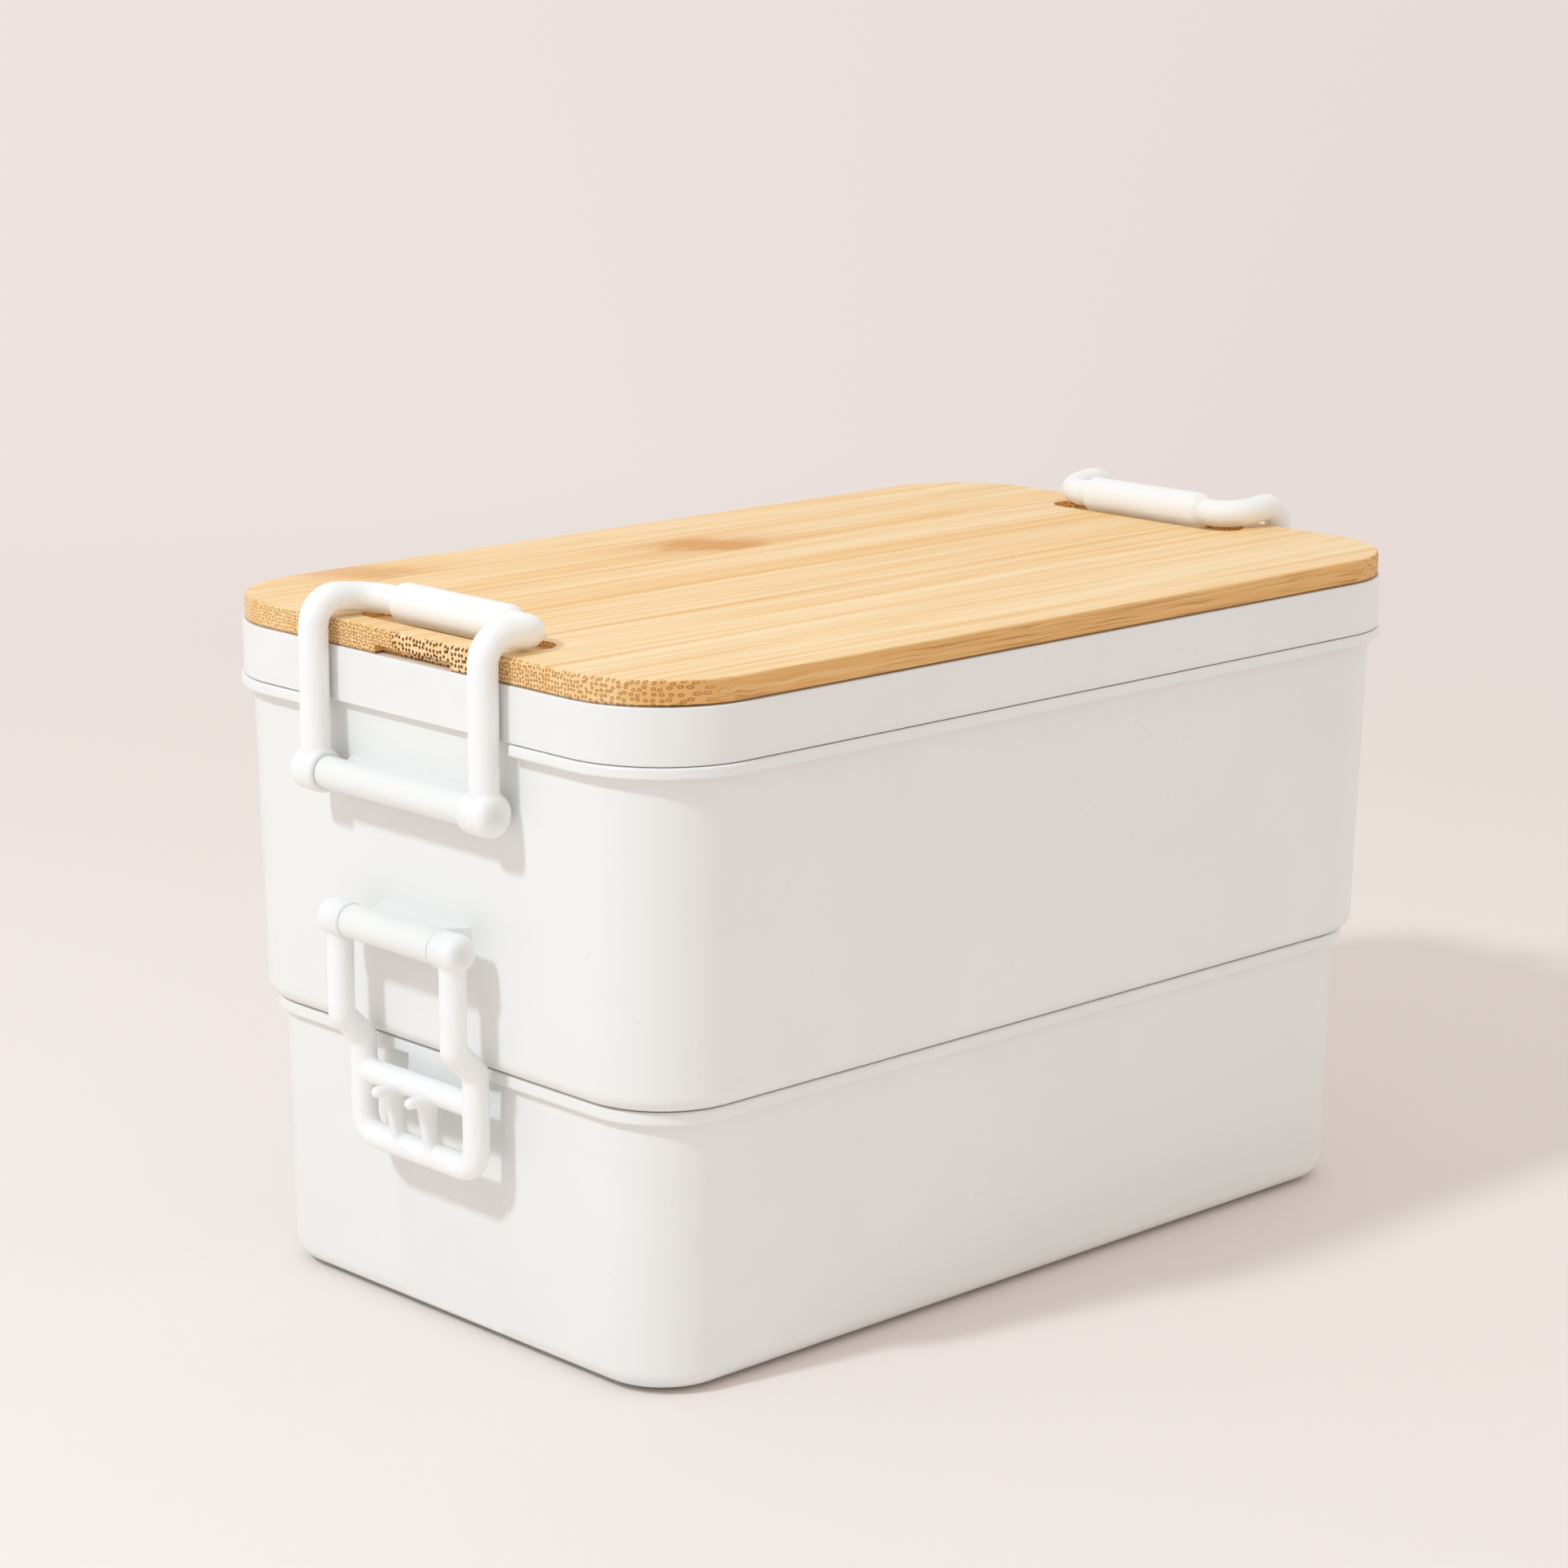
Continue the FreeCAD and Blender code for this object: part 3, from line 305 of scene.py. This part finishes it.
class Wire:
    """An output of a node that takes part in Python sums."""

    def __init__(self, tree, socket):
        self.tree = tree
        self.socket = socket

    def out(self, name):
        """Another output of the same node."""
        return Wire(self.tree, self.socket.node.outputs[name])

    def maths(self, operation, *terms):
        """A Math node on values and wires."""
        return self.tree.node("ShaderNodeMath", {"operation": operation}, dict(enumerate(terms)))

    def __add__(self, other):
        return self.maths("ADD", self, other)

    def __radd__(self, other):
        return self.maths("ADD", other, self)

    def __sub__(self, other):
        return self.maths("SUBTRACT", self, other)

    def __rsub__(self, other):
        return self.maths("SUBTRACT", other, self)

    def __mul__(self, other):
        return self.maths("MULTIPLY", self, other)

    def __rmul__(self, other):
        return self.maths("MULTIPLY", other, self)

    def __truediv__(self, other):
        return self.maths("DIVIDE", self, other)

    def __rtruediv__(self, other):
        return self.maths("DIVIDE", other, self)

    def __abs__(self):
        return self.maths("ABSOLUTE", self)

    def __lt__(self, other):
        return self.maths("LESS_THAN", self, other)

    def floor(self):
        return self.maths("FLOOR", self)

    def log(self):
        return self.maths("LOGARITHM", self, math.e)

    def swing(self):
        """A noise's departure from its mean."""
        return self - NOISE_MEAN

    def step(self, low, high):
        """A smooth rise from 0 at low to 1 at high, or a fall where low is the larger."""
        return self.tree.node("ShaderNodeMapRange", {"interpolation_type": "SMOOTHSTEP"},
                              {"Value": self, "From Min": low, "From Max": high})


class Tree:
    """A node tree that is built with Python sums."""

    def __init__(self, tree):
        self.tree = tree

    def node(self, kind, settings, inputs, output=0):
        """Add a node with its settings and the values or wires of its sockets."""
        made = self.tree.nodes.new(kind)
        for name, value in settings.items():
            setattr(made, name, value)
        for name, value in inputs.items():
            self.fill(made.inputs[name], value)
        return Wire(self, made.outputs[output])

    def fill(self, socket, value):
        """Give a socket a value, or link a wire to it."""
        if isinstance(value, Wire):
            self.tree.links.new(value.socket, socket)
        else:
            socket.default_value = value

    def mix(self, factor, first, second):
        """A colour between two colours."""
        settings = {"data_type": "RGBA", "blend_type": "MIX", "clamp_factor": True}
        inputs = {0: factor, 6: as_colour(first), 7: as_colour(second)}
        return self.node("ShaderNodeMix", settings, inputs, 2)

    def vector_maths(self, operation, inputs, output=0):
        """A Vector Math node."""
        return self.node("ShaderNodeVectorMath", {"operation": operation}, inputs, output)

    def seen(self):
        """1 for rays that show a thing to the camera, straight, mirrored or through glass."""
        rays = self.node("ShaderNodeLightPath", {}, {}, "Is Camera Ray")
        return rays + rays.out("Is Glossy Ray") + rays.out("Is Transmission Ray")


class Finish(Tree):
    """The node tree of one material, with its Principled shader."""

    def __init__(self, name, **constants):
        self.material = bpy.data.materials.new(name)
        self.material.use_nodes = True
        super().__init__(self.material.node_tree)
        self.shader = self.tree.nodes["Principled BSDF"]
        self.feed(**constants)

    def place(self):
        """Object coordinates in millimetres."""
        here = self.node("ShaderNodeTexCoord", {}, {}, "Object")
        return self.vector_maths("SCALE", {0: here, "Scale": MILLIMETRES})

    def noise(self, place, scale, detail=2.0, roughness=0.5, distortion=0.0):
        """Noise between 0 and 1, with the same cells on every axis."""
        return self.node("ShaderNodeTexNoise", {}, {"Vector": place, "Scale": scale, "Detail": detail,
                                                   "Roughness": roughness, "Distortion": distortion})

    def layer(self, place, kind):
        """Noise with its own number of cells on each axis."""
        cells = self.vector_maths("MULTIPLY", {0: place, 1: kind.cells})
        return self.noise(cells, 1.0, kind.detail, kind.roughness, kind.distortion)

    def bump(self, height, distance, strength):
        """A normal that leans with the height."""
        return self.node("ShaderNodeBump", {}, {"Height": height, "Distance": distance, "Strength": strength})

    def feed(self, **values):
        """Give values or wires to the shader's sockets; an underscore stands for a space."""
        for socket, value in values.items():
            self.fill(self.shader.inputs[socket.replace("_", " ")], value)
        return self.material

    def show(self, shader):
        """Put another shader in the place of the Principled one."""
        self.fill(self.tree.nodes["Material Output"].inputs["Surface"], shader)
        return self.material


def as_colour(value):
    """A wire as it is, or three numbers with full alpha."""
    return value if isinstance(value, Wire) else (*value, 1.0)


def moulded_plastic(name, look, grain_scale, spread):
    """White plastic: faint flow marks, uneven gloss and a fine moulded grain."""
    finish = Finish(name, IOR=PLASTIC.ior, Subsurface_Weight=look.milkiness, Subsurface_Scale=spread,
                    Subsurface_Radius=PLASTIC.spread_colour)
    place = finish.place()
    flow = finish.noise(place, FLOW.scale, detail=3.0, roughness=0.55, distortion=0.6)
    cloud = finish.noise(place, CLOUD.scale)
    grain = finish.noise(place, grain_scale, roughness=0.6)
    colour = finish.mix((flow - FLOW.start) * FLOW.contrast, look.colour, look.shade)
    roughness = look.roughness + cloud.swing() * CLOUD.gloss + flow.swing() * FLOW.gloss
    normal = finish.bump(grain, look.grain, PLASTIC.grain_strength)
    return finish.feed(Base_Color=colour, Roughness=roughness, Normal=normal)


def tray_plastic():
    """Firm plastic of the trays and the lid."""
    look = bpy.context.scene.lunch_tray_plastic
    return moulded_plastic("tray_plastic", look, TRAY.grain_scale, TRAY.spread)


def clip_plastic():
    """Softer plastic of the clips, with a finer grain."""
    look = bpy.context.scene.lunch_clip_plastic
    return moulded_plastic("clip_plastic", look, CLIP.grain_scale, CLIP.spread)


def bamboo():
    """Glued strips of bamboo, whose fibres along X are lines on the faces and dots on the ends."""
    look = bpy.context.scene.lunch_bamboo
    finish = Finish("bamboo", IOR=BAMBOO_IOR)
    place = finish.place()
    along = finish.node("ShaderNodeSeparateXYZ", {}, {0: place})
    across = along.out("Y")
    up = along.out("Z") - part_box("bamboo_board")[0][2] * MILLIMETRES
    facing = finish.node("ShaderNodeTexCoord", {}, {}, "Normal")
    facing_x = finish.node("ShaderNodeSeparateXYZ", {}, {0: facing})
    end_face = abs(facing_x).step(*FACES.end)
    side_face = abs(facing_x.out("Y")).step(*FACES.side)
    pale_end = across.step(*FACES.pale_end)

    # The strips, and how far each point is from the middle of its own
    drift = finish.layer(place, DRIFT).swing()
    from_first = across - look.first_joint * MILLIMETRES + drift * WANDER.joint
    strip_place = from_first / (look.strip_width * MILLIMETRES)
    strip = strip_place.floor()
    tone = finish.node("ShaderNodeTexWhiteNoise", {"noise_dimensions": "1D"}, {"W": strip + STRIP_MIDDLE})
    from_middle = abs(strip_place - strip - STRIP_MIDDLE)
    coarse = abs(strip - look.coarse_strip) < STRIP_MIDDLE
    ringed = strip < look.ringed_strip + STRIP_MIDDLE

    # The grain, which ripples on the sides towards the front end
    grain_across = across + drift * WANDER.grain
    ripple_height = along.step(*RIPPLE.growing) * RIPPLE.growth + RIPPLE.height
    ripple = finish.layer(place, WAVER).swing() * ripple_height
    grain = finish.node("ShaderNodeCombineXYZ", {},
                        {"X": along, "Y": grain_across, "Z": up + ripple * side_face})
    band = finish.layer(grain, BAND)
    vein = finish.layer(grain, VEIN).step(*WARMTH.vein_step)
    streak = finish.layer(grain, STREAK)
    hair = finish.layer(grain, HAIR)
    dash = finish.layer(grain, DASH)

    # The ground: pale to warm on the faces, darker on the sides and ends
    seam = from_middle.step(*SEAM.reach) * (SEAM.strength + streak * SEAM.streak)
    warmth = WARMTH.mean + band.swing() * WARMTH.band + streak.swing() * WARMTH.streak
    warmth = warmth + hair.swing() * WARMTH.hair + tone.swing() * WARMTH.tone
    warmth = warmth + seam * WARMTH.seam + vein * WARMTH.vein
    ground = finish.mix(warmth, look.pale, look.warm)
    on_side = side_face * (EDGE.side + streak.swing() * EDGE.streak + hair.swing() * EDGE.hair)
    on_end = end_face * (EDGE.end - coarse * EDGE.coarse - pale_end * EDGE.pale_end)
    ground = finish.mix(on_side + on_end, ground, look.edge)

    # The fibres: lines on the faces and sides, dots on the ends
    dot_up = up - DOTS.level + drift * WANDER.dots
    spot, uneven = fibre_ends(finish, look, grain_across, dot_up, coarse, ringed, tone)
    dots = spot * (DOTS.strength + coarse * DOTS.coarse + uneven * DOTS.uneven - pale_end * DOTS.pale_end)
    hair_lines = hair.step(*LINES.hair_step) * (LINES.hair + side_face * LINES.hair_on_side)
    dash_lines = dash.step(*LINES.dash_step) * (LINES.dash + side_face * LINES.dash_on_side)
    lines = hair_lines + dash_lines + from_middle.step(*LINES.joint_step) * LINES.joint
    marks = lines + (dots - lines) * end_face
    fibre = finish.mix(coarse * end_face, look.fibre, look.dark_fibre)
    colour = finish.mix(marks, ground, fibre)

    # The cane joints, and painted contact shade: a dark line along the bottom of the sides and ends, where
    # the board meets the lid
    colour = finish.mix(knuckle_mask(finish, place, along, strip_place, streak, hair), colour, look.knuckle)
    painted_contact_shade = up.step(*PAINTED_CONTACT_SHADE.rise) * (side_face * PAINTED_CONTACT_SHADE.side + end_face * PAINTED_CONTACT_SHADE.end)
    colour = finish.mix(painted_contact_shade, colour, look.painted_contact_shade)

    roughness = GLOSS.roughness + streak.swing() * GLOSS.streak + band.swing() * GLOSS.band
    roughness = roughness + marks * GLOSS.marks
    height = streak * RELIEF.streak + hair * RELIEF.hair - marks * RELIEF.marks
    normal = finish.bump(height, RELIEF.depth, RELIEF.strength)
    return finish.feed(Base_Color=colour, Roughness=roughness, Normal=normal)


def fibre_ends(finish, look, across, up, coarse, ringed, tone):
    """Dots of the fibres' cut ends, which widen into rings towards one corner, and how uneven they are."""
    fine = look.fine_pitch * MILLIMETRES
    ring_start = look.ring_start * MILLIMETRES
    ring_end = look.ring_end * MILLIMETRES
    widening = (look.ring_pitch - look.fine_pitch) / (look.ring_start - look.ring_end)
    ring_pitch = fine + (ring_start - across) * widening
    pitch = fine + coarse * (look.coarse_pitch * MILLIMETRES - fine) + ringed * (ring_pitch - fine)

    # A pitch that grows evenly makes the count of cells a logarithm
    even = across / pitch + tone * DOTS.strip_shift
    sideways = even - ringed * (even + ring_pitch.log() / widening)
    place = finish.node("ShaderNodeCombineXYZ", {}, {"X": sideways, "Y": up / pitch})
    cells = finish.node("ShaderNodeTexVoronoi", {"voronoi_dimensions": "2D", "feature": "F1"},
                        {"Vector": place, "Scale": 1.0, "Randomness": DOTS.randomness})
    uneven = finish.noise(place, DOTS.uneven_scale, detail=1.0).swing()
    reach = cells + uneven * DOTS.uneven_reach
    hollow = reach.step(*DOTS.hollow) * ringed * across.step(ring_start, ring_end)
    return reach.step(*DOTS.rim) * (1.0 - hollow * DOTS.hollow_depth), uneven


def knuckle_mask(finish, place, along, strip_place, streak, hair):
    """Cane joints on single strips: a smudge with one sharp edge, drawn out along the fibres."""
    wave = finish.layer(place, SMUDGE).swing()
    mask = 0.0
    for knuckle in KNUCKLES:
        inner = strip_place - knuckle.strip
        on_strip = inner.step(*KNUCKLE.near_edge) * inner.step(*KNUCKLE.far_edge)
        offset = along - knuckle.centre + wave * KNUCKLE.wave + (inner - KNUCKLE.slant_middle) * KNUCKLE.slant
        fibres = streak * KNUCKLE.body_streak + hair * KNUCKLE.body_hair + wave * KNUCKLE.body_wave
        body = offset.step(*KNUCKLE.body_start) * offset.step(*KNUCKLE.body_end) * fibres
        veil = offset.step(*KNUCKLE.veil_start) * offset.step(*KNUCKLE.veil_end) * KNUCKLE.veil
        mask = mask + (body + veil) * on_strip * knuckle.strength
    return mask


def silicone():
    """Soft silicone with a dusty gloss."""
    finish = Finish("seal_silicone", IOR=SILICONE.ior, Subsurface_Weight=SILICONE.milkiness,
                    Subsurface_Scale=SILICONE.spread)
    place = finish.place()
    cloud = finish.noise(place, SILICONE.cloud_scale)
    dust = finish.noise(place, SILICONE.dust_scale)
    colour = finish.mix(cloud, SILICONE.pale, SILICONE.grey)
    roughness = SILICONE.roughness + dust.swing() * SILICONE.dust_gloss
    normal = finish.bump(dust, SILICONE.depth, SILICONE.strength)
    return finish.feed(Base_Color=colour, Roughness=roughness, Normal=normal)


def pin_steel():
    """Steel with fine lines from drawing, along the pin."""
    finish = Finish("pin_steel", Metallic=1.0)
    drawn = finish.layer(finish.place(), DRAWN)
    colour = finish.mix(drawn, STEEL.dark, STEEL.pale)
    roughness = STEEL.roughness + drawn * STEEL.drawn_gloss
    normal = finish.bump(drawn, STEEL.depth, STEEL.strength)
    return finish.feed(Base_Color=colour, Roughness=roughness, Normal=normal)


# Pieces made from the solids


def pick_only(piece):
    """Select one piece and make it the active one."""
    bpy.ops.object.select_all(action="DESELECT")
    piece.select_set(True)
    bpy.context.view_layer.objects.active = piece


def take_copy(node, name):
    """A piece with the solid's own shape, its loose triangles joined."""
    source = frame["nodes"][node]
    piece = bpy.data.objects.new(name, source.data.copy())
    bpy.context.scene.collection.objects.link(piece)
    pick_only(piece)
    bpy.ops.mesh.customdata_custom_splitnormals_clear()
    bpy.ops.object.mode_set(mode="EDIT")
    bpy.ops.mesh.select_all(action="SELECT")
    bpy.ops.mesh.remove_doubles(threshold=WELD_DISTANCE)
    bpy.ops.object.mode_set(mode="OBJECT")
    return piece


def apply_modifier(piece, kind, **settings):
    """Add a modifier with its settings and apply it."""
    modifier = piece.modifiers.new(kind.lower(), kind)
    for name, value in settings.items():
        setattr(modifier, name, value)
    pick_only(piece)
    bpy.ops.object.modifier_apply(modifier=modifier.name)


def finish_piece(piece, node, material, smooth_angle=SMOOTH_ANGLE):
    """Smooth the shading, give the material and put the piece in the solid's stead."""
    pick_only(piece)
    bpy.ops.object.shade_smooth_by_angle(angle=smooth_angle)
    apply_modifier(piece, "WEIGHTED_NORMAL", keep_sharp=True, mode="FACE_AREA")
    piece.data.materials.clear()
    piece.data.materials.append(material)
    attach(piece, frame["nodes"][node]["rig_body"])
    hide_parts(node)


class LUNCH_OT_trays(bpy.types.Operator):
    """Dress the two trays in white plastic"""

    bl_idname = "lunch.trays"
    bl_label = "Trays"

    def execute(self, context):
        material = tray_plastic()
        for node in ("lower_tray", "upper_tray"):
            finish_piece(take_copy(node, node + "_moulding"), node, material)
        return {"FINISHED"}


class LUNCH_OT_lid(bpy.types.Operator):
    """Dress the lid in white plastic"""

    bl_idname = "lunch.lid"
    bl_label = "Lid"

    def execute(self, context):
        piece = take_copy("inner_lid", "inner_lid_moulding")
        finish_piece(piece, "inner_lid", tray_plastic())
        return {"FINISHED"}


class LUNCH_OT_board(bpy.types.Operator):
    """Dress the board in bamboo"""

    bl_idname = "lunch.board"
    bl_label = "Bamboo board"

    def execute(self, context):
        piece = take_copy("bamboo_board", "bamboo_board_strips")
        finish_piece(piece, "bamboo_board", bamboo())
        return {"FINISHED"}


class LUNCH_OT_clips(bpy.types.Operator):
    """Make the four clips with blended corners, in milky plastic"""

    bl_idname = "lunch.clips"
    bl_label = "Clips"

    def execute(self, context):
        look = context.scene.lunch_clip_plastic
        material = clip_plastic()
        for node in ("upper_clip_front", "upper_clip_rear", "lower_clip_front", "lower_clip_rear"):
            piece = take_copy(node, node + "_moulding")
            apply_modifier(piece, "REMESH", mode="VOXEL", voxel_size=look.mesh_size)
            apply_modifier(piece, "SMOOTH", factor=CLIP_SMOOTH_FACTOR, iterations=look.blend)
            finish_piece(piece, node, material, CLIP_SMOOTH_ANGLE)
        return {"FINISHED"}


class LUNCH_OT_seals(bpy.types.Operator):
    """Dress the two seals in silicone"""

    bl_idname = "lunch.seals"
    bl_label = "Seals"

    def execute(self, context):
        material = silicone()
        for node in ("lid_seal", "tray_seal"):
            finish_piece(take_copy(node, node + "_lip"), node, material)
        return {"FINISHED"}


class LUNCH_OT_pins(bpy.types.Operator):
    """Dress the four hinge pins in drawn steel"""

    bl_idname = "lunch.pins"
    bl_label = "Hinge pins"

    def execute(self, context):
        material = pin_steel()
        for node in ("upper_pin_front", "upper_pin_rear", "lower_pin_front", "lower_pin_rear"):
            finish_piece(take_copy(node, node + "_rod"), node, material)
        return {"FINISHED"}


class LUNCH_OT_stage(bpy.types.Operator):
    """Set the camera, the key lamp, the floor and the sky"""

    bl_idname = "lunch.stage"
    bl_label = "Stage"

    def execute(self, context):
        look = context.scene.lunch_stage
        context.scene.view_settings.view_transform = "Standard"
        self.add_camera(context, look)
        self.add_key(context, look)
        self.add_floor(look)
        self.set_sky(context, look)
        return {"FINISHED"}

    def add_camera(self, context, look):
        """The camera at the photograph's viewing angle."""
        turn = look.azimuth
        level = math.cos(look.elevation)
        back = Vector((math.sin(turn) * level, -math.cos(turn) * level, math.sin(look.elevation)))
        right = Vector((0.0, 0.0, 1.0)).cross(back).normalized()
        up = back.cross(right)
        rolled_right = math.cos(look.roll) * right + math.sin(look.roll) * up
        rolled_up = math.cos(look.roll) * up - math.sin(look.roll) * right
        data = bpy.data.cameras.new("camera")
        data.lens = look.lens
        data.sensor_width = CAMERA.sensor_width
        data.clip_start = CAMERA.nearest
        data.clip_end = CAMERA.farthest
        camera = bpy.data.objects.new("camera", data)
        axes = Matrix((rolled_right, rolled_up, back)).transposed()
        camera.matrix_world = Matrix.Translation(look.camera_place) @ axes.to_4x4()
        context.scene.collection.objects.link(camera)
        context.scene.camera = camera

    def add_key(self, context, look):
        """The lamp that throws the shadows."""
        data = bpy.data.lights.new("key", "AREA")
        data.shape = "DISK"
        data.size = look.key_size
        data.energy = look.key_power
        data.color = look.key_colour
        lamp = bpy.data.objects.new("key", data)
        lamp.location = look.key_place
        aim = Vector(KEY_AIM) - Vector(look.key_place)
        lamp.rotation_euler = aim.to_track_quat("-Z", "Y").to_euler()
        context.scene.collection.objects.link(lamp)

    def add_floor(self, look):
        """A sheet of paper that fades into the backdrop's colour."""
        bpy.ops.object.select_all(action="DESELECT")
        bpy.ops.mesh.primitive_plane_add(size=look.floor_size)
        floor = bpy.context.object
        floor.name = "floor"
        finish = Finish("floor_paper", Roughness=PAPER.roughness)
        place = finish.node("ShaderNodeTexCoord", {}, {}, "Object")
        paper = finish.noise(place, PAPER.scale, PAPER.detail).swing() * PAPER.contrast + PAPER.mean
        darkest = tuple(PAPER.darkest * part for part in look.floor)
        finish.feed(Base_Color=finish.mix(paper, darkest, look.floor))
        distance = finish.vector_maths("LENGTH", {0: place}, "Value")
        far = distance.step(*FLOOR_FADE) * finish.seen()
        shade = self.backdrop_shade(finish, finish.vector_maths("NORMALIZE", {0: place}), look)
        glow = finish.node("ShaderNodeEmission", {}, {"Color": shade, "Strength": 1.0})
        body = Wire(finish, finish.shader.outputs[0])
        both = finish.node("ShaderNodeMixShader", {}, {0: far, 1: body, 2: glow})
        floor.data.materials.append(finish.show(both))

    def backdrop_shade(self, tree, direction, look):
        """Colour of the backdrop, which changes from the left to the right of the first camera: painted
        shade, darker on the right.
        """
        right = (math.cos(look.azimuth), math.sin(look.azimuth), 0.0)
        sideways = tree.vector_maths("DOT_PRODUCT", {0: direction, 1: right}, "Value")
        return tree.mix(sideways.step(*BACKDROP_TURN), look.backdrop, look.backdrop_shaded_right)

    def set_sky(self, context, look):
        """Soft light, stronger from the rear, and the backdrop's colour where the sky itself is seen."""
        world = bpy.data.worlds.new("sky")
        context.scene.world = world
        world.use_nodes = True
        tree = Tree(world.node_tree)
        direction = tree.node("ShaderNodeTexCoord", {}, {}, "Generated")
        rearward = tree.node("ShaderNodeSeparateXYZ", {}, {0: direction})
        strength = look.sky * (1.0 + rearward * look.sky_lean)
        sky_colour = as_colour(look.sky_colour)
        soft = tree.node("ShaderNodeBackground", {}, {"Color": sky_colour, "Strength": strength})
        shown = tree.node("ShaderNodeBackground", {}, {"Color": self.backdrop_shade(tree, direction, look)})
        both = tree.node("ShaderNodeMixShader", {}, {0: tree.seen(), 1: soft, 2: shown})
        tree.fill(world.node_tree.nodes["World Output"].inputs["Surface"], both)


class LUNCH_PT_panel(bpy.types.Panel):
    """Lists what the add-on makes"""

    bl_idname = "LUNCH_PT_panel"
    bl_label = "Stacked lunch box"
    bl_space_type = "VIEW_3D"
    bl_region_type = "UI"
    bl_category = "Lunch box"

    def draw(self, context):
        for operator in OPERATORS:
            self.layout.operator(operator.bl_idname)
        for name in LOOKS:
            box = self.layout.box()
            group = getattr(context.scene, name)
            for key in group.__annotations__:
                box.prop(group, key)


LOOKS = {
    "lunch_tray_plastic": TrayPlasticLook,
    "lunch_clip_plastic": ClipPlasticLook,
    "lunch_bamboo": BambooLook,
    "lunch_stage": StageLook,
}
OPERATORS = (LUNCH_OT_trays, LUNCH_OT_lid, LUNCH_OT_board, LUNCH_OT_clips, LUNCH_OT_seals, LUNCH_OT_pins,
             LUNCH_OT_stage)


def register():
    for name, group in LOOKS.items():
        bpy.utils.register_class(group)
        setattr(bpy.types.Scene, name, bpy.props.PointerProperty(type=group))
    for made in (*OPERATORS, LUNCH_PT_panel):
        bpy.utils.register_class(made)


def unregister():
    for made in reversed((*OPERATORS, LUNCH_PT_panel)):
        bpy.utils.unregister_class(made)
    for name, group in LOOKS.items():
        delattr(bpy.types.Scene, name)
        bpy.utils.unregister_class(group)


def main():
    """Make the pieces and the stage."""
    register()
    bpy.ops.lunch.trays()
    bpy.ops.lunch.lid()
    bpy.ops.lunch.board()
    bpy.ops.lunch.clips()
    bpy.ops.lunch.seals()
    bpy.ops.lunch.pins()
    bpy.ops.lunch.stage()


if __name__ == "__main__":
    main()
